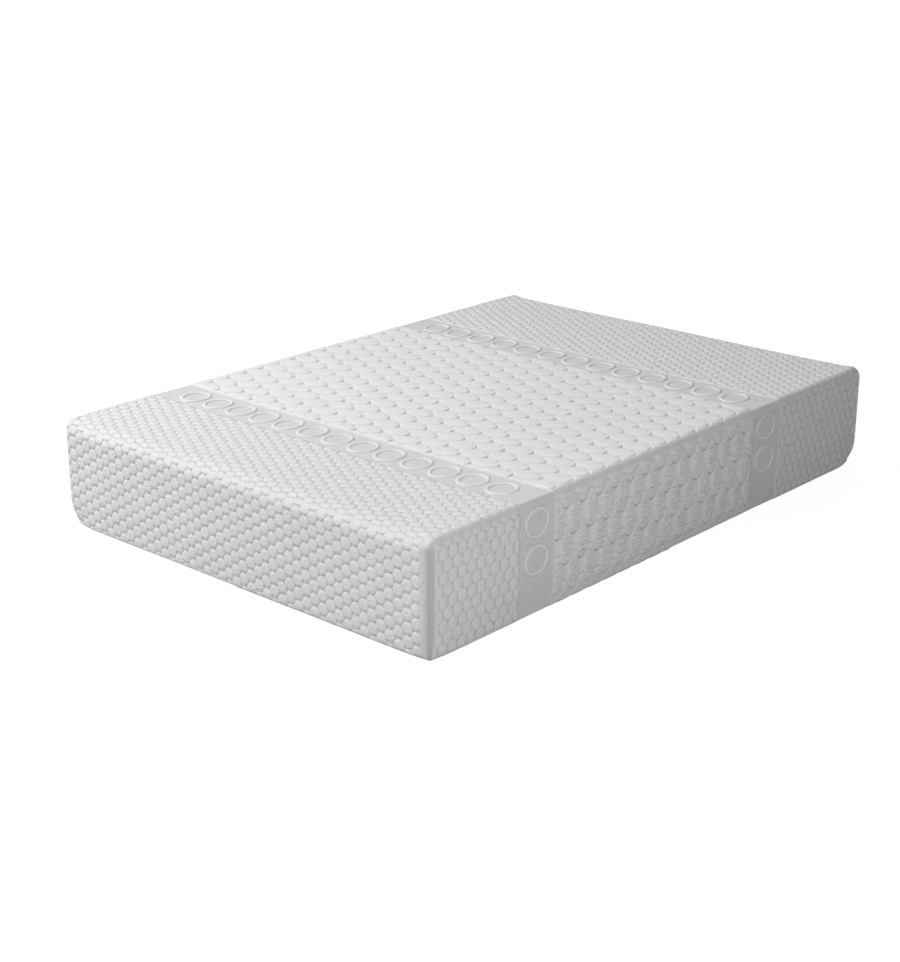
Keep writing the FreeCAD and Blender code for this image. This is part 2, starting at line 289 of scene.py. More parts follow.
@dataclass
class BoxSkin:
    """A grid over the top, the walls and the rim of the underside of a sharp box, then rounded."""

    x: Array
    y: Array
    z: Array
    rim: Array
    upright_radius: float = 0.015
    soft_upright: float = 0.026
    end_radius: float = 0.044
    side_radius: float = 0.014
    round_top: float = 0.024
    end_top: float = 0.038
    round_bottom: float = 0.012
    edge_blend: float = 0.060
    split: float = 0.5
    sharp: Array = field(init=False)
    cloth: Array = field(init=False)
    quads: Array = field(init=False)
    loop: Array = field(init=False)
    quad_cloth: Array = field(init=False)

    def __post_init__(self) -> None:
        """Lays out the vertices and faces."""
        nx, ny, nz = len(self.x) - 1, len(self.y) - 1, len(self.z) - 1
        top_id = np.arange((nx + 1) * (ny + 1)).reshape(nx + 1, ny + 1)
        i = np.concatenate([np.arange(nx), np.full(ny, nx), np.arange(nx, 0, -1), np.zeros(ny, int)])
        j = np.concatenate([np.zeros(nx, int), np.arange(ny), np.full(nx, ny), np.arange(ny, 0, -1)])
        around = len(i)
        wall_id = top_id.size + np.arange(nz * around).reshape(nz, around)
        wall_id = np.vstack([wall_id, top_id[i, j]])
        rim_id = top_id.size + nz * around + np.arange(len(self.rim) * around).reshape(-1, around)
        rim_id = np.vstack([wall_id[0], rim_id])
        gx, gy = np.meshgrid(self.x, self.y, indexing="ij")
        top = np.stack([gx, gy, np.full_like(gx, self.z[-1])], -1).reshape(-1, 3)
        edge_x, edge_y = self.x[i], self.y[j]
        wall = np.stack([np.tile(edge_x, nz), np.tile(edge_y, nz), np.repeat(self.z[:-1], around)], -1)
        scale_x = 1 - self.rim[:, None] / self.x[-1]
        scale_y = 1 - self.rim[:, None] / self.y[-1]
        under = np.stack([edge_x * scale_x, edge_y * scale_y,
                          np.zeros((len(self.rim), around))], -1).reshape(-1, 3)
        self.sharp = np.vstack([top, wall, under])
        self.loop = rim_id[-1]
        top_quads = np.stack([top_id[:-1, :-1], top_id[1:, :-1], top_id[1:, 1:], top_id[:-1, 1:]], -1)
        wall_quads = self._strips(wall_id)
        rim_quads = self._strips(rim_id)[..., ::-1]
        self.quads = np.vstack([top_quads.reshape(-1, 4), wall_quads, rim_quads])
        side = np.repeat(np.arange(4), (nx, ny, nx, ny))
        face_side = np.concatenate([np.full(top_quads.size // 4, -1), np.tile(side, nz),
                                    np.tile(side, len(self.rim))])
        corner = self.sharp[self.quads]
        inward = np.minimum(self.x[-1] - np.abs(corner[..., 0]), self.y[-1] - np.abs(corner[..., 1]))
        depth = (self.z[-1] - corner[..., 2]) / KNIT.wall_stretch
        depth = depth + np.where(corner[..., 2] <= 0, inward, 0.0)
        u, v = corner[..., 0].copy(), corner[..., 1].copy()
        for number, (axis, sign) in enumerate(((1, -1), (0, 1), (1, 1), (0, -1))):
            faces = face_side == number
            target = u if axis == 0 else v
            edge = self.x[-1] if axis == 0 else self.y[-1]
            target[faces] = sign * (edge + depth[faces])
        self.quad_cloth = np.stack([u, v], -1)
        self.cloth = np.zeros((len(self.sharp), 2))
        order = np.argsort(face_side == -1, kind="stable")
        self.cloth[self.quads[order].ravel()] = self.quad_cloth[order].reshape(-1, 2)

    @staticmethod
    def _strips(ids: Array) -> Array:
        """Joins each row of ids to the next, closed round the loop.

        Args:
            ids: vertex numbers, one row for each loop.

        Returns:
            The quads, one row of four vertex numbers each.
        """
        ahead = np.roll(ids, -1, axis=1)
        return np.stack([ids[:-1], ahead[:-1], ahead[1:], ids[1:]], -1).reshape(-1, 4)

    def rounded(self) -> tuple[Array, Array]:
        """Rounds the sharp box's edges.

        Returns:
            Points on the rounded box, and the outward direction at each.
        """
        radii = np.empty_like(self.sharp)
        to_end = self.x[-1] - np.abs(self.sharp[:, 0])
        to_side = self.y[-1] - np.abs(self.sharp[:, 1])
        near_top = smooth_step(self.edge_blend, 0.0, self.z[-1] - self.sharp[:, 2])
        soft_corner = self.sharp[:, 1] * self.sharp[:, 0] < 0
        upright = np.where(soft_corner, self.soft_upright, self.upright_radius)
        for axis, radius, beside in ((0, self.end_radius, to_side), (1, self.side_radius, to_end)):
            share = near_top * smooth_step(0.0, self.edge_blend, beside)
            radii[:, axis] = upright + (radius - upright) * share
        middle = self.z[-1] * self.split
        corner = smooth_step(self.edge_blend, 0.0, np.hypot(to_end, to_side))
        near_end = smooth_step(self.edge_blend, 0.0, to_end)
        top = self.round_top + (self.end_top - self.round_top) * near_end
        top = top + (upright - top) * corner
        radii[:, 2] = np.where(self.sharp[:, 2] > middle, top, self.round_bottom)
        low = np.array([self.x[0], self.y[0], self.z[0]])
        high = np.array([self.x[-1], self.y[-1], self.z[-1]])
        core = np.clip(self.sharp, low + radii, high - radii)
        lean = (self.sharp - core) / radii
        size = np.linalg.norm(lean, axis=1, keepdims=True)
        size[size < 1e-9] = 1.0
        point = core + radii * lean / size
        out = lean / radii
        return point, out / np.linalg.norm(out, axis=1, keepdims=True)


# ---- shader node groups --------------------------------------------------------------------------
class Wiring:
    """Short ways to add and join nodes in one tree."""

    def __init__(self, tree: bpy.types.NodeTree) -> None:
        """Keeps the tree."""
        self.tree = tree

    def node(self, kind: str, **settings: object) -> bpy.types.Node:
        """Adds a node.

        Args:
            kind: its type.
            settings: its properties by name.

        Returns:
            The node.
        """
        made = self.tree.nodes.new(kind)
        for name, value in settings.items():
            setattr(made, name, value)
        return made

    def feed(self, socket: bpy.types.NodeSocket, value: object) -> None:
        """Links a socket, or sets it.

        Args:
            socket: the socket.
            value: another socket to link, or the number or colour to set.
        """
        if isinstance(value, bpy.types.NodeSocket):
            self.tree.links.new(value, socket)
        else:
            socket.default_value = value

    def math(self, operation: str, *values: object, clamp: bool = False) -> bpy.types.NodeSocket:
        """Adds a Math node.

        Args:
            operation: what it does.
            values: up to three numbers or sockets.
            clamp: whether it keeps the result from 0 to 1.

        Returns:
            Its result.
        """
        made = self.node("ShaderNodeMath", operation=operation, use_clamp=clamp)
        for socket, value in zip(made.inputs, values):
            self.feed(socket, value)
        return made.outputs[0]

    def square(self, value: object) -> bpy.types.NodeSocket:
        """A value times itself."""
        return self.math("MULTIPLY", value, value)

    def step(self, value: object, low: float, high: float) -> bpy.types.NodeSocket:
        """Adds a smooth step from 0 at low to 1 at high.

        Args:
            value: what it maps.
            low: value where it starts.
            high: value where it ends.

        Returns:
            The step.
        """
        made = self.node("ShaderNodeMapRange", interpolation_type="SMOOTHSTEP")
        for name, given in (("Value", value), ("From Min", low), ("From Max", high)):
            self.feed(made.inputs[name], given)
        return made.outputs[0]

    def mix(self, share: object, first: object, second: object) -> bpy.types.NodeSocket:
        """Mixes two colours.

        Args:
            share: 0 for the first colour, 1 for the second.
            first: the first colour.
            second: the second.

        Returns:
            The mixed colour.
        """
        made = self.node("ShaderNodeMix", data_type="RGBA")
        for index, value in ((0, share), (6, first), (7, second)):
            self.feed(made.inputs[index], value)
        return made.outputs[2]

    def use(self, group: bpy.types.NodeTree, **values: object) -> bpy.types.Node:
        """Places a node group.

        Args:
            group: the group.
            values: its inputs by name, with an underscore for each space.

        Returns:
            The group's node.
        """
        made = self.node("ShaderNodeGroup", node_tree=group)
        for name, value in values.items():
            self.feed(made.inputs[name.replace("_", " ")], value)
        return made


def new_group(name: str, inputs: dict[str, float],
              outputs: list[str]) -> tuple[Wiring, dict, bpy.types.Node]:
    """Starts a shader node group of numbers.

    Args:
        name: the group's name.
        inputs: each input's name and default.
        outputs: the outputs' names.

    Returns:
        The wiring, the input sockets by name, and the output node.
    """
    tree = bpy.data.node_groups.new(name, "ShaderNodeTree")
    for label, value in inputs.items():
        socket = tree.interface.new_socket(label, in_out="INPUT", socket_type="NodeSocketFloat")
        socket.default_value = value
    for label in outputs:
        tree.interface.new_socket(label, in_out="OUTPUT", socket_type="NodeSocketFloat")
    wiring = Wiring(tree)
    start = wiring.node("NodeGroupInput")
    return wiring, {label: start.outputs[label] for label in inputs}, wiring.node("NodeGroupOutput")


def bubble_group() -> bpy.types.NodeTree:
    """The bubbles' relief on cloth coordinates.

    Returns:
        A group that puts out Height, and Disc; outside the discs the cover paints shade into the grooves
        between bubbles.
    """
    w, given, out = new_group("knit_bubbles", {"U": 0.0, "V": 0.0}, ["Height", "Disc"])
    rows = w.math("DIVIDE", given["V"], KNIT.bubble_row)
    pillows, necks = [], []
    for side in (-0.5, 0.5):
        near = w.math("FLOOR", w.math("SUBTRACT", rows, side))
        across = w.math("SUBTRACT", w.math("SUBTRACT", rows, near), 0.5)
        dv = w.math("MULTIPLY", across, KNIT.bubble_row)
        odd = w.math("FLOORED_MODULO", near, 2.0)
        along = w.math("MULTIPLY_ADD", odd, 0.5, w.math("DIVIDE", given["U"], KNIT.bubble_pitch))
        du = w.math("MULTIPLY", w.math("SUBTRACT", w.math("FRACT", along), 0.5), KNIT.bubble_pitch)
        reach = w.math("ADD", w.square(w.math("DIVIDE", du, KNIT.bubble_half_length)),
                       w.square(w.math("DIVIDE", dv, KNIT.bubble_half_width)))
        pillows.append(w.math("SUBTRACT", 1.0, w.math("POWER", reach, KNIT.pillow_power), clamp=True))
        end = w.math("SUBTRACT", KNIT.bubble_pitch / 2, w.math("ABSOLUTE", du))
        away = w.math("DIVIDE", w.math("ADD", w.square(end), w.square(dv)), KNIT.neck_radius ** 2)
        necks.append(w.math("SUBTRACT", 1.0, away, clamp=True))
    pillow, neck = w.math("MAXIMUM", *pillows), w.math("SQRT", w.math("MAXIMUM", *necks))
    w.feed(out.inputs["Height"], w.math("MAXIMUM", w.math("POWER", pillow, 0.42),
                                        w.math("MULTIPLY", neck, KNIT.neck_height)))
    w.feed(out.inputs["Disc"], w.step(pillow, 0.05, 0.6))
    return w.tree


def cell_group() -> bpy.types.NodeTree:
    """The cells' relief on cloth coordinates.

    Returns:
        A group that puts out Height, Dome, and Crease where the tips sink, which also marks where the cover
        paints shade into the creases.
    """
    w, given, out = new_group("knit_cells", {"U": 0.0, "V": 0.0}, ["Height", "Dome", "Crease"])
    domes, creases = [], []
    for shift in (0.0, 0.5):
        offsets, signed = [], []
        for coordinate, pitch in ((given["U"], KNIT.cell_pitch), (given["V"], 2 * KNIT.cell_row)):
            turn = w.math("SUBTRACT", w.math("DIVIDE", coordinate, pitch), shift)
            part = w.math("SUBTRACT", turn, w.math("ROUND", turn))
            signed.append(w.math("MULTIPLY", part, pitch))
            offsets.append(w.math("ABSOLUTE", signed[-1]))
        past = w.math("MAXIMUM", w.math("SUBTRACT", offsets[1], KNIT.cell_straight), 0.0)
        tip = w.math("DIVIDE", past, KNIT.cell_tip)
        side = w.math("DIVIDE", offsets[0], KNIT.cell_half_width)
        reach = w.math("SQRT", w.math("ADD", w.square(side), w.square(tip)))
        dome = w.math("SUBTRACT", 1.0, w.math("POWER", reach, KNIT.cell_power), clamp=True)
        domes.append(w.math("POWER", dome, KNIT.cell_round))
        off = w.math("ABSOLUTE", w.math("SUBTRACT", reach, KNIT.crease_centre))
        off = w.math("DIVIDE", off, KNIT.crease_width)
        line = w.math("POWER", w.math("SUBTRACT", 1.0, off, clamp=True), KNIT.crease_power)
        lower = w.step(w.math("MULTIPLY", signed[1], -1.0), -KNIT.crease_turn, KNIT.crease_turn)
        near_tip = w.math("MULTIPLY_ADD", lower, 1 - KNIT.upper_crease, KNIT.upper_crease)
        creases.append(w.math("MULTIPLY", w.math("MULTIPLY", line, near_tip),
                              w.step(tip, KNIT.crease_start, KNIT.crease_full)))
    dome, crease = w.math("MAXIMUM", *domes), w.math("MAXIMUM", *creases)
    crease = w.math("MULTIPLY", crease, w.math("SUBTRACT", 1.0, dome))
    on_wall = w.step(w.math("ABSOLUTE", given["V"]), *KNIT.onto_wall)
    ground = w.math("MULTIPLY_ADD", on_wall, KNIT.wall_level - KNIT.top_level, KNIT.top_level)
    level = w.math("MULTIPLY_ADD", dome, w.math("SUBTRACT", 1.0, ground), ground)
    w.feed(out.inputs["Height"], w.math("SUBTRACT", level, w.math("MULTIPLY", crease, KNIT.crease_depth)))
    w.feed(out.inputs["Dome"], dome)
    w.feed(out.inputs["Crease"], crease)
    return w.tree


def mesh_group() -> bpy.types.NodeTree:
    """The bands' fine open mesh on cloth coordinates.

    Returns:
        A group that puts out Height, and Hole between the threads.
    """
    w, given, out = new_group("knit_mesh", {"U": 0.0, "V": 0.0}, ["Height", "Hole"])
    turns = 2 * math.pi / KNIT.mesh_pitch / math.sqrt(2)
    threads = [w.math("SINE", w.math("MULTIPLY", w.math(way, given["U"], given["V"]), turns))
               for way in ("ADD", "SUBTRACT")]
    both = w.math("MULTIPLY", *threads)
    w.feed(out.inputs["Height"], w.math("MULTIPLY_ADD", both, 0.5, 0.5))
    w.feed(out.inputs["Hole"], w.step(both, 0.45, 0.9))
    return w.tree


def yarn_group() -> bpy.types.NodeTree:
    """Fine loops of yarn and the crinkle of loose cloth.

    Returns:
        A group that puts out Height.
    """
    w, given, out = new_group("yarn_loops", {"U": 0.0, "V": 0.0, "Pitch": 0.0032, "Loop": 0.0009,
                                             "Crinkle": 1.5}, ["Height"])
    place = w.node("ShaderNodeCombineXYZ")
    along, across = (w.math("DIVIDE", given[label], given["Pitch"]) for label in ("U", "V"))
    w.feed(place.inputs[0], along)
    w.feed(place.inputs[1], across)
    noise = w.node("ShaderNodeTexNoise", noise_dimensions="2D")
    w.feed(noise.inputs["Vector"], place.outputs[0])
    w.feed(noise.inputs["Scale"], 0.85)
    w.feed(noise.inputs["Detail"], 0.6)
    turns = [w.math("MULTIPLY", w.math("DIVIDE", given[label], given["Loop"]), math.pi)
             for label in ("U", "V")]
    sway = w.math("MULTIPLY", w.math("ABSOLUTE", w.math("SINE", w.math("MULTIPLY", turns[1], 0.5))), 2.2)
    loops = w.math("ABSOLUTE", w.math("SINE", w.math("ADD", w.math("MULTIPLY", turns[0], 0.5), sway)))
    w.feed(out.inputs["Height"], w.math("MULTIPLY_ADD", noise.outputs[0], given["Crinkle"],
                                        w.math("MULTIPLY", loops, 0.16)))
    return w.tree


def wrinkle_group() -> bpy.types.NodeTree:
    """Short creases that run along the bed inside slack cells.

    Returns:
        A group that puts out Height.
    """
    w, given, out = new_group("slack_wrinkles", {"U": 0.0, "V": 0.0, "Length": 0.060,
                                                 "Spacing": 0.010}, ["Height"])
    place = w.node("ShaderNodeCombineXYZ")
    w.feed(place.inputs[0], w.math("DIVIDE", given["U"], given["Length"]))
    w.feed(place.inputs[1], w.math("DIVIDE", given["V"], given["Spacing"]))
    noise = w.node("ShaderNodeTexNoise", noise_dimensions="2D")
    w.feed(noise.inputs["Vector"], place.outputs[0])
    w.feed(noise.inputs["Scale"], 1.0)
    w.feed(noise.inputs["Detail"], 1.5)
    ridge = w.math("ABSOLUTE", w.math("MULTIPLY_ADD", noise.outputs[0], 2.0, -1.0))
    width = w.math("POWER", w.math("MULTIPLY", ridge, 3.0, clamp=True), 0.7)
    w.feed(out.inputs["Height"], w.math("SUBTRACT", 1.0, width))
    return w.tree


@dataclass(frozen=True)
class CoverKnit:
    """Finish of the white knitted cover."""

    name: str = "cover_knit"
    plain: tuple = (0.690, 0.690, 0.705, 1.0)
    # Painted shade: darker colour painted into the grooves between the bubbles.
    groove_shade: tuple = (0.620, 0.621, 0.634, 1.0)
    disc: tuple = (0.695, 0.695, 0.710, 1.0)
    cell: tuple = (0.755, 0.755, 0.773, 1.0)
    band: tuple = (0.675, 0.680, 0.690, 1.0)
    hole: tuple = (0.450, 0.460, 0.470, 1.0)
    # Painted shade: dark colour painted into the creases at the cells' tips.
    crease_shade: tuple = (0.420, 0.420, 0.430, 1.0)
    # Corner strip colour: partly the fabric's own beige and partly painted shade.
    strip: tuple = (0.520, 0.512, 0.484, 1.0)
    bump: float = 0.0018
    yarn_bump: float = 0.0014
    edge_soft: float = 0.003
    mesh_sink: float = -0.6
    wrinkle_sink: float = -1.15
    rough: float = 0.92
    sheen: float = 0.25
    sheen_rough: float = 0.5

    def build(self) -> bpy.types.Material:
        """Builds the material on the cloth coordinates.

        Returns:
            The material.
        """
        material = bpy.data.materials.new(self.name)
        material.use_nodes = True
        w = Wiring(material.node_tree)
        shader = material.node_tree.nodes["Principled BSDF"]
        place = w.node("ShaderNodeSeparateXYZ")
        w.feed(place.inputs[0], w.node("ShaderNodeUVMap", uv_map="cloth").outputs[0])
        u, v = place.outputs[0], place.outputs[1]
        bubbles = w.use(bubble_group(), U=u, V=v)
        cells = w.use(cell_group(), U=u, V=v)
        mesh = w.use(mesh_group(), U=u, V=v)
        yarn = w.use(yarn_group(), U=u, V=v)
        past = [w.step(u, edge - self.edge_soft, edge + self.edge_soft) for edge in KNIT.edges]
        centre = w.math("MULTIPLY", past[1], w.math("SUBTRACT", 1.0, past[2]))
        ends = w.math("MAXIMUM", w.math("SUBTRACT", 1.0, past[0]), past[3])
        bands = w.math("SUBTRACT", 1.0, w.math("ADD", centre, ends), clamp=True)
        pattern = w.node("ShaderNodeAttribute", attribute_name="pattern").outputs["Fac"]
        strip = w.node("ShaderNodeAttribute", attribute_name="strip").outputs["Fac"]
        # Painted shade in the grooves: outside each bubble's disc the colour turns darker.
        colour = w.mix(bubbles.outputs["Disc"], self.groove_shade, self.disc)
        # Painted shade in the cells' tip creases.
        colour = w.mix(centre, colour, w.mix(cells.outputs["Crease"], self.cell, self.crease_shade))
        colour = w.mix(bands, colour, w.mix(mesh.outputs["Hole"], self.band, self.hole))
        colour = w.mix(w.math("SUBTRACT", 1.0, pattern), colour, self.plain)
        # Corner strips: their own beige tone, darkened partly as painted shade.
        colour = w.mix(strip, colour, self.strip)
        w.feed(shader.inputs["Base Color"], colour)
        height = w.math("MULTIPLY", bubbles.outputs["Height"], ends)
        height = w.math("MULTIPLY_ADD", cells.outputs["Height"], centre, height)
        height = w.math("MULTIPLY_ADD", w.math("MULTIPLY", mesh.outputs["Height"], self.mesh_sink), bands,
                        height)
        coarse = w.node("ShaderNodeBump")
        coarse.inputs["Distance"].default_value = self.bump
        on_wall = w.step(w.math("ABSOLUTE", v), *KNIT.onto_wall)
        slack = w.math("MULTIPLY", w.math("MULTIPLY", on_wall, centre), cells.outputs["Dome"])
        wrinkles = w.use(wrinkle_group(), U=u, V=v)
        height = w.math("MULTIPLY_ADD", w.math("MULTIPLY", wrinkles.outputs[0], self.wrinkle_sink), slack,
                        height)
        w.feed(coarse.inputs["Height"], w.math("MULTIPLY", height, pattern))
        fine = w.node("ShaderNodeBump")
        fine.inputs["Distance"].default_value = self.yarn_bump
        w.feed(fine.inputs["Height"], yarn.outputs["Height"])
        w.feed(fine.inputs["Normal"], coarse.outputs[0])
        w.feed(shader.inputs["Normal"], fine.outputs[0])
        shader.inputs["Roughness"].default_value = self.rough
        shader.inputs["Sheen Weight"].default_value = self.sheen
        shader.inputs["Sheen Roughness"].default_value = self.sheen_rough
        return material


# ---- the soft shape ------------------------------------------------------------------------------
@dataclass(frozen=True)
class Slump:
    """How the soft block leaves its sharp box: wandering walls, swelling top, corners tucked in below."""

    belly: float = 0.003
    wander: float = 0.0024
    lip_raise: float = 0.003
    corner_reach: float = 0.034
    corner_tuck: float = 0.009
    far_tuck: float = 0.026
    tuck_height: float = 0.080
    lift_share: float = 0.30
    edge_fall: float = 0.05
    corner_ease: float = 0.06
    foot_share: float = 0.35
    zip_lead: tuple = (0.020, 0.002)
    zip_fade: tuple = (0.080, 0.035)

    def shift(self, sharp: Array, out: Array) -> Array:
        """Moves for points on the box.

        Args:
            sharp: where each would be on the sharp box.
            out: the outward direction at each.

        Returns:
            The move of each point.
        """
        x, y, z = sharp.T
        up = np.clip(z / BOX.height, 0, 1)
        to_end = np.maximum(BOX.half_length - np.abs(x), 0)
        to_side = np.maximum(BOX.half_width - np.abs(y), 0)
        corner = np.exp(-(to_end ** 2 + to_side ** 2) / (2 * self.corner_reach ** 2))
        depth = np.where((x > 0) | (y > 0), self.far_tuck, self.corner_tuck)
        edge = np.exp(-to_side / self.edge_fall)
        wander = self.wandering(x, y, to_end < to_side)
        ease = smooth_step(0.0, self.corner_ease, np.maximum(to_end, to_side))
        foot = smooth_step(self.foot_share, 0.0, up)
        free = self.clear_of_zip(sharp, to_end, to_side)
        tuck = free * corner * smooth_step(self.tuck_height, -0.02, z) ** 1.5
        tuck = tuck * np.where((x > 0) & (y > 0), 0.0, 1.0)
        sideways = free * (self.wander * ease * (wander - 0.6) * (0.5 + 0.5 * np.sin(up * math.pi))
                           - self.belly * foot) - depth * tuck
        flat = np.hypot(out[:, 0], out[:, 1])
        reach = np.maximum(flat, 1e-6)
        moved = np.zeros_like(sharp)
        moved[:, :2] = out[:, :2] / reach[:, None] * (flat * sideways)[:, None]
        swell = self.wander * np.sin(x * 7.1 + 0.4) * np.sin(y * 8.7 + 1.3) * (1 - edge)
        lip = edge * (self.lip_raise + 0.5 * self.wander * wander * ease) * (1 - 0.5 * corner)
        raised = self.lift_share * depth * tuck * smooth_step(0.10, 0.04, z)
        moved[:, 2] = smooth_step(self.foot_share, 1.0, up) * (lip + 0.5 * swell) + raised
        return moved

    def wandering(self, x: Array, y: Array, on_end: Array) -> Array:
        """Slow waves along each wall, at a phase of its own.

        Args:
            x: place along the bed.
            y: place across it.
            on_end: whether the point is nearer an end than a side.

        Returns:
            The waves' height, from -1 to 1.
        """
        along = np.where(on_end, y, x)
        phase = np.where(on_end, 1.7, 0.0) + np.where(x > 0, 2.1, 0.0) + np.where(y > 0, 0.9, 0.0)
        return (np.sin(along * 8.3 + phase) + 0.7 * np.sin(along * 17.9 + 2.3 * phase)
                + 0.6 * np.sin(along * 37.0 + 1.1 * phase)) / 2.3

    def clear_of_zip(self, sharp: Array, to_end: Array, to_side: Array) -> Array:
        """How freely each point moves: the zip holds the foot of the two walls that it runs along.

        Args:
            sharp: where each point would be on the sharp box.
            to_end: its distance from the nearer end.
            to_side: its distance from the nearer side.

        Returns:
            From 0 where the zip holds it to 1 where it is free.
        """
        x, y, z = sharp.T
        far, near = self.zip_lead
        start, stop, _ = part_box("zip_tape_upper")[0]
        on_side, on_end = (y > 0) & (to_side < to_end), (x > 0) & (to_end <= to_side)
        long_side = np.where(on_side, smooth_step(start - far, start - near, x), 0.0)
        head_end = np.where(on_end, smooth_step(stop - far, stop - near, y), 0.0)
        return 1 - np.maximum(long_side, head_end) * smooth_step(*self.zip_fade, z)

    def settle(self, piece: bpy.types.Object) -> None:
        """Moves a piece that lies on the cover as the cover moves.

        Args:
            piece: the piece, whose mesh is changed.
        """
        count = len(piece.data.vertices)
        points = np.empty(count * 3)
        piece.data.vertices.foreach_get("co", points)
        points = points.reshape(-1, 3)
        half = np.array([BOX.half_length, BOX.half_width, BOX.height])
        face = np.argmax(np.abs(points) / half, axis=1)
        out = np.zeros_like(points)
        out[np.arange(count), face] = np.sign(points[np.arange(count), face])
        moved = points + self.shift(np.clip(points, -half, half), out)
        piece.data.vertices.foreach_set("co", moved.ravel())
        piece.data.update()


# ---- the cover -----------------------------------------------------------------------------------
@dataclass
class Cover:
    """The knitted cover: one skin over the top and the walls, turned in underneath."""

    step: float = 0.0033
    row_step: float = 0.0033
    bubble_height: float = 0.0026
    cell_height: float = 0.0042
    band_drop: float = 0.0006
    corner_flat: float = 0.034
    seam_from_corner: float = 0.016
    zip_recess: float = 0.0052
    base_lift: float = 0.0036
    edge_soft: float = 0.004
    off_floor: float = 0.0002

    def skin(self, coarseness: int = 1) -> BoxSkin:
        """The grid that the cover is made on.

        Args:
            coarseness: how many times wider its spacing is.

        Returns:
            The skin.
        """
        step, row_step = self.step * coarseness, self.row_step * coarseness
        marks = (-BOX.half_length, *KNIT.edges, BOX.half_length)
        x = even_lines(*zip(marks[:-1], marks[1:]), step=step)
        y = even_lines((-BOX.half_width, BOX.half_width), step=row_step)
        zip_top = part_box("zip_tape_upper")[1][2]
        marks = (0.0, zip_top - 0.0004, zip_top + 0.0004, BOX.height)
        z = even_lines(*zip(marks[:-1], marks[1:]), step=row_step)
        return BoxSkin(x, y, z, np.array([0.008, 0.02, 0.035, 0.045, 0.048, 0.06]))

    def masks(self, skin: BoxSkin) -> tuple[Array, Array]:
        """How much of the pattern each point shows, and where the smooth corner strips are, whose darker
        colour is partly their own beige and partly painted shade.

        Args:
            skin: the cover's grid.

        Returns:
            Pattern and strip, each from 0 to 1.
        """
        x, y, z = skin.sharp.T
        to_end = BOX.half_length - np.abs(x)
        to_side = BOX.half_width - np.abs(y)
        below = BOX.height - z
        on_end = (to_end < 1e-6) & (below > 0)
        on_side = (to_side < 1e-6) & (below > 0)
        pattern = np.ones(len(x))
        flat = np.where(y < 0, self.corner_flat, self.corner_flat * 0.6)
        end_fade = smooth_step(-0.012, 0.004, to_side - flat)
        pattern = np.where(on_end, end_fade, pattern)
        side_fade = smooth_step(self.seam_from_corner, self.seam_from_corner + 0.004, to_end)
        pattern = np.where(on_side & ~on_end, side_fade, pattern)
        corner = np.hypot(np.maximum(to_end, 0), np.maximum(to_side, 0))
        pattern = np.where(below <= 0, smooth_step(0.012, 0.035, corner), pattern)
        lip = np.where(to_side < 0.02, smooth_step(0.006, 0.022, to_side + below), 1.0)
        pattern *= np.where(on_end, 1.0, 0.25 + 0.75 * lip)
        pattern *= np.where(z < 0.02, smooth_step(-0.01, 0.02, z), 1.0)
        cells = (x > KNIT.foot_band_end) & (x < KNIT.head_band_start) & on_side
        pattern *= np.where(cells, smooth_step(0.010, 0.042, z), 1.0)
        low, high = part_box("zip_tape_upper")
        zipped = ((y > 0) & on_side & (x > low[0] - 0.012)) | ((x > 0) & on_end & (y > low[1] - 0.012))
        pattern *= np.where(zipped, smooth_step(high[2] + 0.003, high[2] + 0.010, z), 1.0)
        # The strip's darkening is partly the corner fabric's beige and partly painted shade: strongest at the
        # corner edge, weaker on the far corners and near the top.
        strip = np.where(on_end, 1 - smooth_step(-0.024, 0.002, to_side - flat), 0.0)
        past_seam = 1 - smooth_step(-0.002, 0.002, to_end - self.seam_from_corner)
        strip = np.where(on_side & ~on_end, past_seam, strip)
        strip = strip * np.where(y < 0, 1.0, 0.35) * smooth_step(0.0, 0.03, below)
        return pattern, strip

    def relief(self, skin: BoxSkin, pattern: Array) -> Array:
        """Height of the knit's pattern over the smooth cover.

        Args:
            skin: the cover's grid.
            pattern: how much of the pattern each point shows.

        Returns:
            The height at each point, in metres.
        """
        u, v = skin.cloth.T
        past = [smooth_step(edge - self.edge_soft, edge + self.edge_soft, u) for edge in KNIT.edges]
        ends = (1 - past[0]) + past[3]
        centre = past[1] * (1 - past[2])
        bands = np.clip(1 - ends - centre, 0, 1)
        height = (self.bubble_height * bubble_relief(u, v) * ends
                  + self.cell_height * cell_relief(u, v) * centre - self.band_drop * bands)
        return height * pattern

    def make_room(self, skin: BoxSkin, point: Array) -> Array:
        """Sets the cover in behind the zip and up over the base panel, where they are.

        Args:
            skin: the cover's grid.
            point: its points.

        Returns:
            The moved points.
        """
        low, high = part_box("zip_tape_upper")
        x, y, z = skin.sharp.T
        to_end, to_side = BOX.half_length - x, BOX.half_width - y
        under = (z < high[2]).astype(float)
        near_side = smooth_step(0.024, 0.0, to_side) * smooth_step(low[0] - 0.004, low[0], x)
        near_end = smooth_step(0.024, 0.0, to_end) * smooth_step(low[1] - 0.004, low[1], y)
        moved = point.copy()
        moved[:, 1] -= self.zip_recess * near_side * under
        moved[:, 0] -= self.zip_recess * near_end * under
        over_base = smooth_step(low[0] - 0.003, low[0], x) * smooth_step(low[1] - 0.003, low[1], y)
        lift = self.base_lift * over_base * under
        moved[:, 2] = moved[:, 2] * (1 - lift / high[2]) + lift
        return moved

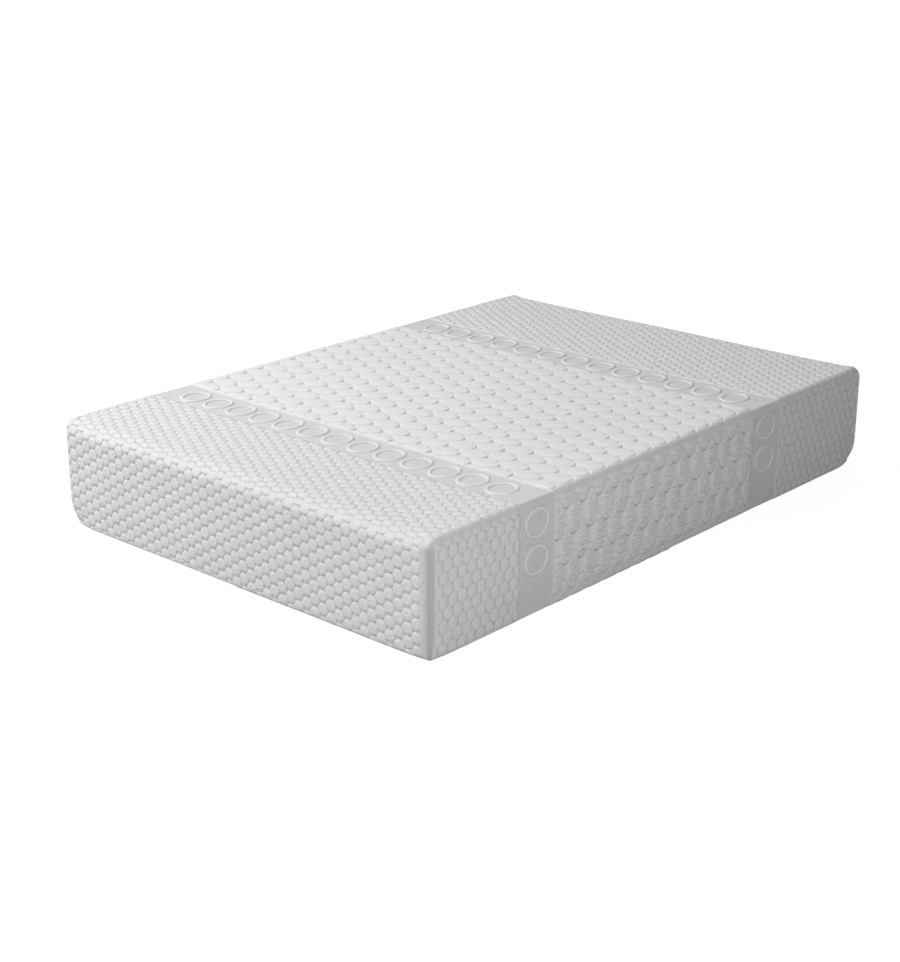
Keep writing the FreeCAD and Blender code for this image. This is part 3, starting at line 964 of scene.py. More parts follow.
    def build(self) -> bpy.types.Object:
        """Makes the cover's mesh, with its relief and its masks.

        Returns:
            The cover.
        """
        skin = self.skin()
        point, out = skin.rounded()
        pattern, strip = self.masks(skin)
        point = point + out * self.relief(skin, pattern)[:, None]
        point = self.make_room(skin, point + Slump().shift(skin.sharp, out))
        point[:, 2] = np.maximum(point[:, 2], self.off_floor)
        cap = skin.loop[::-1][None, :]
        uvs = np.vstack([skin.quad_cloth.reshape(-1, 2), np.zeros((len(skin.loop), 2))])
        piece = mesh_from_arrays("knitted_cover", point, [skin.quads, cap], uvs)
        for name, values in (("pattern", pattern), ("strip", strip)):
            piece.data.attributes.new(name, "FLOAT", "POINT").data.foreach_set(
                "value", values.astype(np.float32))
        piece.data.materials.append(CoverKnit().build())
        return piece


# ---- finishes of the other pieces ----------------------------------------------------------------
def weave_group() -> bpy.types.NodeTree:
    """A plain weave on object coordinates.

    Returns:
        A group that puts out Height, and Shade from thread to thread.
    """
    w, given, out = new_group("plain_weave", {"Pitch": 0.0012, "Fuzz": 0.3}, ["Height", "Shade"])
    place = w.node("ShaderNodeSeparateXYZ")
    w.feed(place.inputs[0], w.node("ShaderNodeTexCoord").outputs["Object"])
    turns = [w.math("MULTIPLY", w.math("DIVIDE", place.outputs[axis], given["Pitch"]), math.pi)
             for axis in range(3)]
    along = w.math("SINE", w.math("ADD", turns[0], turns[1]))
    across = w.math("SINE", w.math("ADD", turns[2], w.math("SUBTRACT", turns[0], turns[1])))
    noise = w.node("ShaderNodeTexNoise")
    w.feed(noise.inputs["Vector"], w.node("ShaderNodeTexCoord").outputs["Object"])
    w.feed(noise.inputs["Scale"], 260.0)
    w.feed(noise.inputs["Detail"], 3.0)
    height = w.math("MULTIPLY_ADD", w.math("MULTIPLY", along, across), 0.5, 0.5)
    w.feed(out.inputs["Height"], w.math("MULTIPLY_ADD", noise.outputs[0], given["Fuzz"], height))
    w.feed(out.inputs["Shade"], w.math("MULTIPLY_ADD", noise.outputs[0], 0.6,
                                       w.math("MULTIPLY", height, 0.4)))
    return w.tree


def grain_group() -> bpy.types.NodeTree:
    """Cells or grains of any size on object coordinates.

    Returns:
        A group that puts out Height and Shade.
    """
    w, given, out = new_group("open_grain", {"Scale": 400.0, "Smear": 0.5}, ["Height", "Shade"])
    coords = w.node("ShaderNodeTexCoord").outputs["Object"]
    cells = w.node("ShaderNodeTexVoronoi")
    w.feed(cells.inputs["Vector"], coords)
    w.feed(cells.inputs["Scale"], given["Scale"])
    noise = w.node("ShaderNodeTexNoise")
    w.feed(noise.inputs["Vector"], coords)
    w.feed(noise.inputs["Scale"], w.math("MULTIPLY", given["Scale"], 0.12))
    w.feed(noise.inputs["Detail"], 4.0)
    w.feed(out.inputs["Height"], cells.outputs["Distance"])
    w.feed(out.inputs["Shade"], w.math("MULTIPLY_ADD", noise.outputs[0], given["Smear"],
                                       w.math("MULTIPLY", cells.outputs["Distance"], 0.4)))
    return w.tree


class Surface(Enum):
    """What a finish is made of, by the name of its node group."""

    WEAVE = "plain_weave"
    GRAIN = "open_grain"

    def group(self) -> bpy.types.NodeTree:
        """The surface's node group, built when it is first asked for."""
        build = {Surface.WEAVE: weave_group, Surface.GRAIN: grain_group}[self]
        return bpy.data.node_groups.get(self.value) or build()


@dataclass(frozen=True)
class Finish:
    """A procedural finish whose colour, roughness and bump come from one shared group."""

    name: str
    light: tuple
    dark: tuple
    surface: Surface = Surface.WEAVE
    values: dict = field(default_factory=dict)
    rough: tuple = (0.75, 0.95)
    bump: float = 0.0004
    metallic: float = 0.0
    sheen: float = 0.0
    coat: float = 0.0

    def build(self) -> bpy.types.Material:
        """Builds the material.

        Returns:
            The material.
        """
        material = bpy.data.materials.new(self.name)
        material.use_nodes = True
        w = Wiring(material.node_tree)
        shader = material.node_tree.nodes["Principled BSDF"]
        pattern = w.use(self.surface.group(), **self.values)
        w.feed(shader.inputs["Base Color"], w.mix(pattern.outputs["Shade"], self.dark, self.light))
        low, high = self.rough
        w.feed(shader.inputs["Roughness"], w.math("MULTIPLY_ADD", pattern.outputs["Shade"], high - low, low))
        bump = w.node("ShaderNodeBump")
        bump.inputs["Distance"].default_value = self.bump
        w.feed(bump.inputs["Height"], pattern.outputs["Height"])
        w.feed(shader.inputs["Normal"], bump.outputs[0])
        shader.inputs["Metallic"].default_value = self.metallic
        shader.inputs["Sheen Weight"].default_value = self.sheen
        shader.inputs["Coat Weight"].default_value = self.coat
        return material


FINISHES = {finish.name: finish for finish in (
    Finish("raised_knit", (0.76, 0.76, 0.78, 1), (0.62, 0.62, 0.64, 1),
           values={"Pitch": 0.0022}, sheen=0.2),
    Finish("base_fabric", (0.60, 0.61, 0.62, 1), (0.40, 0.41, 0.42, 1),
           values={"Pitch": 0.0016}, bump=0.0005),
    Finish("seam_thread", (0.80, 0.80, 0.79, 1), (0.62, 0.62, 0.60, 1),
           values={"Pitch": 0.0006}, bump=0.0002, rough=(0.45, 0.7), sheen=0.2),
    Finish("zip_tape", (0.72, 0.72, 0.72, 1), (0.50, 0.50, 0.50, 1),
           values={"Pitch": 0.0009}, bump=0.0003),
    Finish("zip_coil", (0.74, 0.74, 0.73, 1), (0.62, 0.62, 0.61, 1), Surface.GRAIN,
           {"Scale": 900.0}, rough=(0.3, 0.45), bump=0.00005),
    Finish("zip_metal", (0.80, 0.81, 0.83, 1), (0.56, 0.57, 0.59, 1), Surface.GRAIN,
           {"Scale": 700.0, "Smear": 0.9}, rough=(0.12, 0.32), bump=0.00003, metallic=1.0, coat=0.2),
    Finish("label_satin", (0.86, 0.86, 0.85, 1), (0.72, 0.72, 0.71, 1),
           values={"Pitch": 0.0004, "Fuzz": 0.1}, rough=(0.3, 0.45), bump=0.0001, sheen=0.3),
    Finish("memory_foam", (0.86, 0.85, 0.80, 1), (0.66, 0.65, 0.58, 1), Surface.GRAIN,
           {"Scale": 700.0}, bump=0.0006),
    Finish("transition_foam", (0.62, 0.72, 0.80, 1), (0.42, 0.52, 0.62, 1), Surface.GRAIN,
           {"Scale": 550.0}, bump=0.0008),
    Finish("base_foam", (0.80, 0.80, 0.80, 1), (0.58, 0.58, 0.60, 1), Surface.GRAIN,
           {"Scale": 420.0}, bump=0.001),
    Finish("adhesive", (0.84, 0.82, 0.74, 1), (0.70, 0.67, 0.56, 1), Surface.GRAIN,
           {"Scale": 120.0, "Smear": 0.8}, rough=(0.35, 0.6), bump=0.0002),
    Finish("sock_knit", (0.80, 0.80, 0.80, 1), (0.62, 0.62, 0.63, 1),
           values={"Pitch": 0.0014}, sheen=0.2),
    Finish("sock_thread", (0.78, 0.78, 0.78, 1), (0.60, 0.60, 0.60, 1),
           values={"Pitch": 0.0006}, bump=0.0002),
)}


BUILT: dict[str, bpy.types.Material] = {}


def finish_of(name: str) -> bpy.types.Material:
    """The material of a finish, built when it is first asked for."""
    if name not in BUILT:
        BUILT[name] = FINISHES[name].build()
    return BUILT[name]


# ---- repeats made with Geometry Nodes ------------------------------------------------------------
class RepeatTree:
    """A Geometry Nodes tree that sets one small shape along lines or on points."""

    def __init__(self, name: str, inputs: dict[str, tuple]) -> None:
        """Starts the tree with a Geometry socket each way and the named inputs.

        Args:
            name: its name.
            inputs: the socket type and own value of each input, by name.
        """
        self.tree = bpy.data.node_groups.new(name, "GeometryNodeTree")
        faces = self.tree.interface
        faces.new_socket("Geometry", in_out="INPUT", socket_type="NodeSocketGeometry")
        self.sockets = {label: faces.new_socket(label, in_out="INPUT", socket_type=kind)
                        for label, (kind, _) in inputs.items()}
        self.values = {label: value for label, (_, value) in inputs.items()}
        faces.new_socket("Geometry", in_out="OUTPUT", socket_type="NodeSocketGeometry")
        self.wiring = Wiring(self.tree)
        self.start = self.wiring.node("NodeGroupInput")
        self.end = self.wiring.node("NodeGroupOutput")

    def finish(self, instances: bpy.types.NodeSocket) -> None:
        """Realises the instances, gives them their material and joins them to the output.

        Args:
            instances: the repeated shapes.
        """
        w = self.wiring
        real, dress = w.node("GeometryNodeRealizeInstances"), w.node("GeometryNodeSetMaterial")
        w.feed(real.inputs[0], instances)
        w.feed(dress.inputs["Geometry"], real.outputs[0])
        w.feed(dress.inputs["Material"], self.start.outputs["Material"])
        w.feed(self.end.inputs[0], dress.outputs[0])

    def run(self, name: str, base: bpy.types.Mesh, **changes: object) -> bpy.types.Object:
        """Runs the tree on a mesh and keeps the result as a plain piece.

        Args:
            name: the piece's name.
            base: lines or points to work on.
            changes: inputs that differ from the tree's own values.

        Returns:
            The piece.
        """
        carrier = bpy.data.objects.new(name + "_base", base)
        bpy.context.scene.collection.objects.link(carrier)
        modifier = carrier.modifiers.new("repeat", "NODES")
        modifier.node_group = self.tree
        for label, value in {**self.values, **changes}.items():
            modifier[self.sockets[label].identifier] = value
        shown = carrier.evaluated_get(bpy.context.evaluated_depsgraph_get())
        mesh = bpy.data.meshes.new_from_object(shown)
        bpy.data.objects.remove(carrier)
        mesh.name = name
        piece = bpy.data.objects.new(name, mesh)
        bpy.context.scene.collection.objects.link(piece)
        for polygon in mesh.polygons:
            polygon.use_smooth = True
        return piece


def bead_tree() -> RepeatTree:
    """Long beads, such as stitches or the turns of a coil, along every line of a mesh.

    Returns:
        The tree.
    """
    made = RepeatTree("beads_along_lines", {
        "Pitch": ("NodeSocketFloat", 0.004), "Bead Size": ("NodeSocketVector", (0.003, 0.001, 0.001)),
        "Material": ("NodeSocketMaterial", None)})
    w, given = made.wiring, made.start.outputs
    curve, spread = w.node("GeometryNodeMeshToCurve"), w.node("GeometryNodeResampleCurve", mode="LENGTH")
    w.feed(curve.inputs[0], given["Geometry"])
    w.feed(spread.inputs["Curve"], curve.outputs[0])
    w.feed(spread.inputs["Length"], given["Pitch"])
    bead = w.node("GeometryNodeMeshUVSphere")
    bead.inputs["Segments"].default_value, bead.inputs["Rings"].default_value = 6, 4
    bead.inputs["Radius"].default_value = 0.5
    shape = w.node("GeometryNodeTransform")
    w.feed(shape.inputs["Geometry"], bead.outputs[0])
    w.feed(shape.inputs["Scale"], given["Bead Size"])
    turn = w.node("FunctionNodeAlignRotationToVector", axis="X")
    w.feed(turn.inputs["Vector"], w.node("GeometryNodeInputTangent").outputs[0])
    place = w.node("GeometryNodeInstanceOnPoints")
    w.feed(place.inputs["Points"], spread.outputs[0])
    w.feed(place.inputs["Instance"], shape.outputs[0])
    w.feed(place.inputs["Rotation"], turn.outputs[0])
    made.finish(place.outputs[0])
    return made


def ring_tree() -> RepeatTree:
    """Flat oval rings on the points of a mesh, turned as its "turn" attribute says.

    Returns:
        The tree.
    """
    made = RepeatTree("rings_on_points", {
        "Ring Size": ("NodeSocketVector", (0.05, 0.08, 1.0)), "Cord Width": ("NodeSocketFloat", 0.008),
        "Cord Height": ("NodeSocketFloat", 0.5), "Material": ("NodeSocketMaterial", None)})
    w, given = made.wiring, made.start.outputs
    ring, stretch = w.node("GeometryNodeCurvePrimitiveCircle"), w.node("GeometryNodeTransform")
    ring.inputs["Resolution"].default_value, ring.inputs["Radius"].default_value = 28, 0.5
    w.feed(stretch.inputs["Geometry"], ring.outputs[0])
    w.feed(stretch.inputs["Scale"], given["Ring Size"])
    cord, sweep = w.node("GeometryNodeCurvePrimitiveCircle"), w.node("GeometryNodeCurveToMesh")
    cord.inputs["Resolution"].default_value = 8
    w.feed(cord.inputs["Radius"], w.math("MULTIPLY", given["Cord Width"], 0.5))
    w.feed(sweep.inputs["Curve"], stretch.outputs[0])
    w.feed(sweep.inputs["Profile Curve"], cord.outputs[0])
    flat, squash = w.node("GeometryNodeTransform"), w.node("ShaderNodeCombineXYZ")
    w.feed(squash.inputs[0], 1.0)
    w.feed(squash.inputs[1], 1.0)
    w.feed(squash.inputs[2], given["Cord Height"])
    w.feed(flat.inputs["Geometry"], sweep.outputs[0])
    w.feed(flat.inputs["Scale"], squash.outputs[0])
    turn = w.node("GeometryNodeInputNamedAttribute", data_type="FLOAT_VECTOR")
    turn.inputs[0].default_value = "turn"
    rotation = w.node("FunctionNodeEulerToRotation")
    w.feed(rotation.inputs[0], turn.outputs["Attribute"])
    place = w.node("GeometryNodeInstanceOnPoints")
    w.feed(place.inputs["Points"], given["Geometry"])
    w.feed(place.inputs["Instance"], flat.outputs[0])
    w.feed(place.inputs["Rotation"], rotation.outputs[0])
    made.finish(place.outputs[0])
    return made


def stitch(beads: RepeatTree, name: str, lines: tuple, pitch: float, size: tuple,
           finish: str = "seam_thread") -> bpy.types.Object:
    """Lays a row of beads along each line.

    Args:
        beads: the tree of beads.
        name: the piece's name.
        lines: points of each line.
        pitch: spacing of the beads.
        size: length, width and height of one.
        finish: their finish.

    Returns:
        The piece.
    """
    return beads.run(name, line_mesh(name + "_lines", *lines), **{
        "Pitch": pitch, "Bead Size": size, "Material": finish_of(finish)})


def line_mesh(name: str, *lines: Array) -> bpy.types.Mesh:
    """A mesh of open lines for a repeat to follow.

    Args:
        name: its name.
        lines: points of each.

    Returns:
        The mesh.
    """
    edges, start = [], 0
    for line in lines:
        edges += [(start + i, start + i + 1) for i in range(len(line) - 1)]
        start += len(line)
    mesh = bpy.data.meshes.new(name)
    mesh.from_pydata(np.vstack(lines).tolist(), edges, [])
    return mesh


# ---- what runs along the two zipped sides --------------------------------------------------------
@dataclass(frozen=True)
class ZippedSides:
    """The line round the two sides that the zip runs along, and strips swept along it."""

    corner: float = 0.026

    def line(self, start_x: float, end_y: float, step: float = 0.02) -> tuple[Array, Array]:
        """Points of the cover's outer face along the zip, and the outward direction at each.

        Args:
            start_x: where it starts on the long side.
            end_y: where it stops on the end.
            step: spacing along the straights.

        Returns:
            Points and directions, both (n, 2).
        """
        mid_x, mid_y = BOX.half_length - self.corner, BOX.half_width - self.corner
        x, y = even_lines((start_x, mid_x), step=step), even_lines((mid_y, end_y), step=step)
        turn = np.linspace(math.pi / 2, 0, 9)[1:-1]
        points = np.vstack([
            np.stack([x, np.full_like(x, BOX.half_width)], -1),
            np.stack([mid_x + self.corner * np.cos(turn), mid_y + self.corner * np.sin(turn)], -1),
            np.stack([np.full_like(y, BOX.half_length), y], -1)])
        out = np.vstack([np.tile([0.0, 1.0], (len(x), 1)), np.stack([np.cos(turn), np.sin(turn)], -1),
                         np.tile([1.0, 0.0], (len(y), 1))])
        return points, out

    def offset(self, start_x: float, end_y: float, inward: float, height: float) -> Array:
        """A line of points set in from the outer face, at one height.

        Args:
            start_x: where it starts on the long side.
            end_y: where it stops on the end.
            inward: how far it is set in.
            height: its height.

        Returns:
            Its points.
        """
        points, out = self.line(start_x, end_y)
        flat = points - out * inward
        return np.column_stack([flat, np.full(len(flat), height)])

    def strip(self, name: str, ends: tuple[float, float], section: Array, finish: str) -> bpy.types.Object:
        """Sweeps a closed outline along the line.

        Args:
            name: the piece's name.
            ends: start_x and end_y.
            section: (outward, height) of each corner of the outline, in order.
            finish: its finish.

        Returns:
            The piece.
        """
        points, out = self.line(*ends)
        flat = points[:, None] + out[:, None] * section[None, :, :1]
        heights = np.broadcast_to(section[None, :, 1:], flat.shape[:2] + (1,))
        return swept(name, np.concatenate([flat, heights], -1), finish)


def swept(name: str, rings: Array, finish: str) -> bpy.types.Object:
    """Joins closed outlines into one closed piece and turns its faces outward.

    Args:
        name: the piece's name.
        rings: (rings, corners, 3) points.
        finish: its finish.

    Returns:
        The piece.
    """
    count, corners = rings.shape[:2]
    ids = np.arange(count * corners).reshape(count, corners)
    ahead = np.roll(ids, -1, axis=1)
    quads = np.stack([ids[:-1], ahead[:-1], ahead[1:], ids[1:]], -1).reshape(-1, 4)
    piece = mesh_from_arrays(name, rings.reshape(-1, 3), [quads, ids[:1, ::-1], ids[-1:]])
    turn_outward(piece)
    piece.data.materials.append(finish_of(finish))
    return piece


def turn_outward(piece: bpy.types.Object) -> None:
    """Recalculates a closed mesh's faces so that they point outward.

    Args:
        piece: the piece, whose mesh is changed.
    """
    work = bmesh.new()
    work.from_mesh(piece.data)
    bmesh.ops.recalc_face_normals(work, faces=work.faces)
    work.to_mesh(piece.data)
    work.free()


def place_piece(piece: bpy.types.Object, slot: str, *nodes: str, body: str = "mattress") -> bpy.types.Object:
    """Sets what a finished piece rides on and stands for.

    Args:
        piece: the piece.
        slot: the material slot it is finished in; not used.
        nodes: the nodes that it stands for.
        body: what it moves with.

    Returns:
        The piece.
    """
    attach(piece, body)
    if nodes:
        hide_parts(*nodes)
    LOG.info("%s: %d faces on %s", piece.name, len(piece.data.polygons), body)
    return piece


@dataclass(frozen=True)
class Zip:
    """Tapes, coils, stitching and end tabs along the two zipped sides."""

    sides: ZippedSides = field(default_factory=ZippedSides)
    tape_thickness: float = 0.0007
    coil_pitch: float = 0.0021
    coil_width: float = 0.0023
    coil_turn: float = 0.0017
    coil_inset: float = 0.0014
    stitch_pitch: float = 0.0042
    stitch_size: tuple = (0.0033, 0.0008, 0.0009)
    end_margin: float = 0.001
    tab_length: float = 0.022
    tab_thickness: float = 0.0009
    tab_bow: float = 0.0003
    tab_steps: int = 12

    def rounded_section(self, low: float, high: float, outer: float, inner: float) -> Array:
        """A thin strip's outline with soft long edges.

        Args:
            low: height of its lower edge.
            high: height of its upper edge.
            outer: how far its outer face is set in.
            inner: how far its inner face is set in.

        Returns:
            (outward, height) of each corner, in order.
        """
        soft = min(0.0002, (high - low) / 4)
        return np.array([(-inner, low + soft), (-outer - soft, low), (-outer, low + soft),
                         (-outer, high - soft), (-outer - soft, high), (-inner, high - soft)])

    def build(self, beads: RepeatTree) -> None:
        """Makes every piece of the zip that does not move.

        Args:
            beads: the tree of beads.
        """
        for half in ("upper", "lower"):
            low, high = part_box(f"zip_tape_{half}")
            inset = BOX.half_width - high[1]
            section = self.rounded_section(low[2], high[2], inset, inset + self.tape_thickness)
            tape = self.sides.strip(f"zip_tape_{half}_cloth", (low[0], low[1]), section, "zip_tape")
            place_piece(tape, "zip_tape", f"zip_tape_{half}")
            low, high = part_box(f"zip_coil_{half}")
            coil = stitch(beads, f"zip_coil_{half}_turns", (self.path(low, high, self.coil_inset),),
                          self.coil_pitch, (self.coil_turn, self.coil_width, high[2] - low[2]), "zip_coil")
            place_piece(coil, "zip_coil", f"zip_coil_{half}")
            low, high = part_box(f"zip_stitching_{half}")
            row = stitch(beads, f"zip_stitches_{half}", (self.path(low, high, 0.0),),
                         self.stitch_pitch, self.stitch_size)
            place_piece(row, "seam_thread", f"zip_stitching_{half}")
        self.end_tabs()

    def path(self, low: Vector, high: Vector, inward: float) -> Array:
        """The line along the middle of a node that follows the zip.

        Args:
            low: lower corner of the node's box.
            high: its upper corner.
            inward: how far the line is set in from the outer face.

        Returns:
            Its points.
        """
        return self.sides.offset(low[0] + self.end_margin, low[1] + self.end_margin, inward,
                                 (low[2] + high[2]) / 2)

    def end_tabs(self) -> None:
        """A small folded tab of tape over each end of the zip, bowed a little along its length."""
        low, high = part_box("zip_end_tabs")
        for number, nodes in enumerate((("zip_end_tabs",), ())):
            rings = []
            for along in np.linspace(0, 1, self.tab_steps):
                thick = self.tab_thickness + self.tab_bow * math.sin(along * math.pi)
                outline = ((0, low[2] + 0.0006), (thick, low[2] + 0.0002), (thick, high[2] - 0.0002),
                           (0, high[2] - 0.0006))
                start = low[number] + along * self.tab_length
                rings.append([(BOX.half_length + out, start, z) if number else
                              (start, BOX.half_width + out, z) for out, z in outline])
            tab = swept(f"zip_end_tab_{number}", np.array(rings), "zip_tape")
            Slump().settle(tab)
            place_piece(tab, "zip_tape", *nodes)


@dataclass(frozen=True)
class Seams:
    """Rows of stitches on the corner seams, round the base and sock, and on the care label."""

    from_corner: float = 0.016
    pitch: float = 0.0046
    corner_size: tuple = (0.0044, 0.0024, 0.0016)
    base_size: tuple = (0.0036, 0.0016, 0.0010)
    base_margin: float = 0.0015
    base_end: float = 0.003
    sock_inset: float = 0.006
    sock_radius: float = 0.02
    sock_pitch: float = 0.008
    sock_size: tuple = (0.006, 0.0010, 0.0016)
    label_pitch: float = 0.003
    label_size: tuple = (0.0023, 0.0007, 0.0007)
    label_slack: float = 0.0005

    def build(self, beads: RepeatTree) -> None:
        """Makes every seam, and the label with its stitches.

        Args:
            beads: the tree of beads.
        """
        self.corners(beads)
        self.base(beads)
        self.sock(beads)
        self.label()
        self.label_stitches(beads)

    def corners(self, beads: RepeatTree) -> None:
        """An upright row of stitches beside each corner.

        Args:
            beads: the tree of beads.
        """
        nodes = [f"corner_seam_{end}_{side}" for end in ("foot", "head") for side in ("left", "right")]
        lines = []
        for node in nodes:
            low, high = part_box(node)
            x = math.copysign(BOX.half_length - self.from_corner, low[0])
            y = math.copysign(BOX.half_width + 0.0002, low[1])
            lines.append(np.column_stack([np.full(9, x), np.full(9, y), np.linspace(low[2], high[2], 9)]))
        seams = stitch(beads, "corner_seam_stitches", tuple(lines), self.pitch, self.corner_size)
        Slump().settle(seams)
        place_piece(seams, "seam_thread", *nodes)

    def base(self, beads: RepeatTree) -> None:
        """The stitches that join the turned-under knit to the base along the two sewn sides.

        Args:
            beads: the tree of beads.
        """
        low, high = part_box("base_seam")
        start, count = (low[0] + self.base_margin, low[1] + self.base_margin), 30
        edge_x = np.linspace(start[0], high[0] - self.base_end, count)
        edge_y = np.linspace(start[1], high[1] - self.base_end, count)
        height = np.full(count, 0.0006)
        lines = (np.column_stack([edge_x, np.full(count, start[1]), height]),
                 np.column_stack([np.full(count, start[0]), edge_y, height]))
        seam = stitch(beads, "base_seam_stitches", lines, self.pitch, self.base_size)
        place_piece(seam, "seam_thread", "base_seam")

    def sock(self, beads: RepeatTree) -> None:
        """The overlocked edge round the foot of the sock.

        Args:
            beads: the tree of beads.
        """
        low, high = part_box("inner_sock_seam")
        round_x, round_y = high[0] - self.sock_inset, high[1] - self.sock_inset
        turn, radius = np.linspace(0, math.pi / 2, 7), self.sock_radius
        corner = np.column_stack([round_x - radius + radius * np.sin(turn),
                                  round_y - radius + radius * np.cos(turn)])
        right = np.vstack([corner, corner[::-1] * (1, -1)])
        around = np.vstack([right, -right, right[:1]])
        line = np.column_stack([around, np.full(len(around), low[2] + 0.0008)])
        seam = stitch(beads, "inner_sock_stitches", (line,), self.sock_pitch, self.sock_size, "sock_thread")
        Slump().settle(seam)
        place_piece(seam, "sock_thread", "inner_sock_seam")

    def label(self) -> None:
        """A blank care label sewn flat to the end, with a little slack between its stitches."""
        low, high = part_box("care_label")
        heights = np.linspace(low[2], high[2], 9)
        rings = []
        for along in np.linspace(0, 1, 25):
            y = low[1] + along * (high[1] - low[1])
            slack = self.label_slack * (1 - (2 * along - 1) ** 4) * (1 + 0.4 * math.sin(along * 17))
            bow = slack * (1 - np.linspace(-1, 1, 9) ** 4)
            front = [(low[0] + 0.0006 + b, y, z) for b, z in zip(bow, heights)]
            back = [(low[0] - 0.0004, y, z) for z in heights[::-1]]
            rings.append(front + back)
        label = swept("care_label_cloth", np.array(rings), "label_satin")
        Slump().settle(label)
        place_piece(label, "label_satin", "care_label")

    def label_stitches(self, beads: RepeatTree) -> None:
        """The stitches round the care label.

        Args:
            beads: the tree of beads.
        """
        low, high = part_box("care_label_stitching")
        x, half = low[0] + 0.0002, 0.0005
        left, right, foot, top = low[1] + half, high[1] - half, low[2] + half, high[2] - half
        corners = ((left, foot), (right, foot), (right, top), (left, top), (left, foot))
        lines = tuple(np.column_stack([np.full(7, x), np.linspace(a[0], b[0], 7), np.linspace(a[1], b[1], 7)])
                      for a, b in zip(corners[:-1], corners[1:]))
        row = stitch(beads, "care_label_stitches", lines, self.label_pitch, self.label_size)
        Slump().settle(row)
        place_piece(row, "seam_thread", "care_label_stitching")


@dataclass(frozen=True)
class BandMotif:
    """A row of plain raised ovals knitted into each band, over the top and down the walls."""

    size: tuple = (0.084, 0.070, 1.0)
    pitch: float = 0.094
    cord_width: float = 0.011
    cord_height: float = 0.5
    edge_clear: float = 0.04
    first_down: float = 0.062
    floor_clear: float = 0.075

    def build(self) -> None:
        """Makes the ovals as one piece."""
        places, turns = [], []
        count = int((2 * BOX.half_width - self.edge_clear) / self.pitch)
        across = (np.arange(count) - (count - 1) / 2) * self.pitch
        foot_start, foot_end, head_start, head_end = KNIT.edges
        for x in ((foot_start + foot_end) / 2, (head_start + head_end) / 2):
            for y in across:
                places.append((x, y, BOX.height))
                turns.append((0.0, 0.0, 0.0))
            for side in (-1, 1):
                for row in range(3):
                    down = self.first_down + row * self.pitch
                    if BOX.height - down > self.floor_clear:
                        places.append((x, side * BOX.half_width, BOX.height - down))
                        turns.append((math.pi / 2, 0.0, 0.0))
        points = bpy.data.meshes.new("motif_points")
        points.from_pydata(places, [], [])
        turned = points.attributes.new("turn", "FLOAT_VECTOR", "POINT")
        turned.data.foreach_set("vector", np.array(turns).ravel())
        rings = ring_tree().run("band_motif", points, **{
            "Ring Size": self.size, "Cord Width": self.cord_width, "Cord Height": self.cord_height,
            "Material": finish_of("raised_knit")})
        Slump().settle(rings)
        place_piece(rings, "cover_knit")


# ---- base and core -------------------------------------------------------------------------------
def skin_piece(name: str, skin: BoxSkin, points: Array, finish: str) -> bpy.types.Object:
    """Closes a skin with a face inside its last loop and gives it its finish.

    Args:
        name: the piece's name.
        skin: its grid.
        points: its points.
        finish: its finish.

    Returns:
        The piece.
    """
    piece = mesh_from_arrays(name, points, [skin.quads, skin.loop[::-1][None, :]])
    turn_outward(piece)
    piece.data.materials.append(finish_of(finish))
    return piece


@dataclass(frozen=True)
class BasePanel:
    """The base fabric: a shallow tray that turns up to the zip on two sides."""

    thickness: float = 0.003
    step: float = 0.02
    upright: float = 0.016
    fold: float = 0.0115
    lower_edge: float = 0.0006

    def build(self) -> None:
        """Makes the tray, a little slack over the floor."""
        low, high = (np.array(corner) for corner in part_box("base_panel"))
        middle, half = (low + high) / 2, (high - low) / 2
        wall = high[2]
        x, y = (even_lines((-reach, reach), step=self.step) for reach in half[:2])
        rim = np.array([0.001, 0.002, self.thickness, self.thickness + 0.0002])
        skin = BoxSkin(x, y, np.linspace(0, wall, 8), rim, end_radius=self.upright, side_radius=self.upright,
                       round_top=self.fold, end_top=self.fold, round_bottom=self.lower_edge,
                       split=(wall - self.fold) / wall)
        points, _ = skin.rounded()
        up = wall - points[:, 2]
        near_open = np.minimum(points[:, 0] + half[0], points[:, 1] + half[1])
        share = self.thickness / wall + (1 - self.thickness / wall) * smooth_step(0.002, 0.030, near_open)
        floor_part = skin.sharp[:, 2] >= wall - 1e-9
        up = np.where(floor_part, up, up * share)
        up[skin.loop] = self.thickness
        x, y = points[:, 0] + middle[0], points[:, 1] + middle[1]
        piece = skin_piece("base_panel_cloth", skin, np.column_stack([x, y, up]), "base_fabric")
        place_piece(piece, "base_fabric", "base_panel")


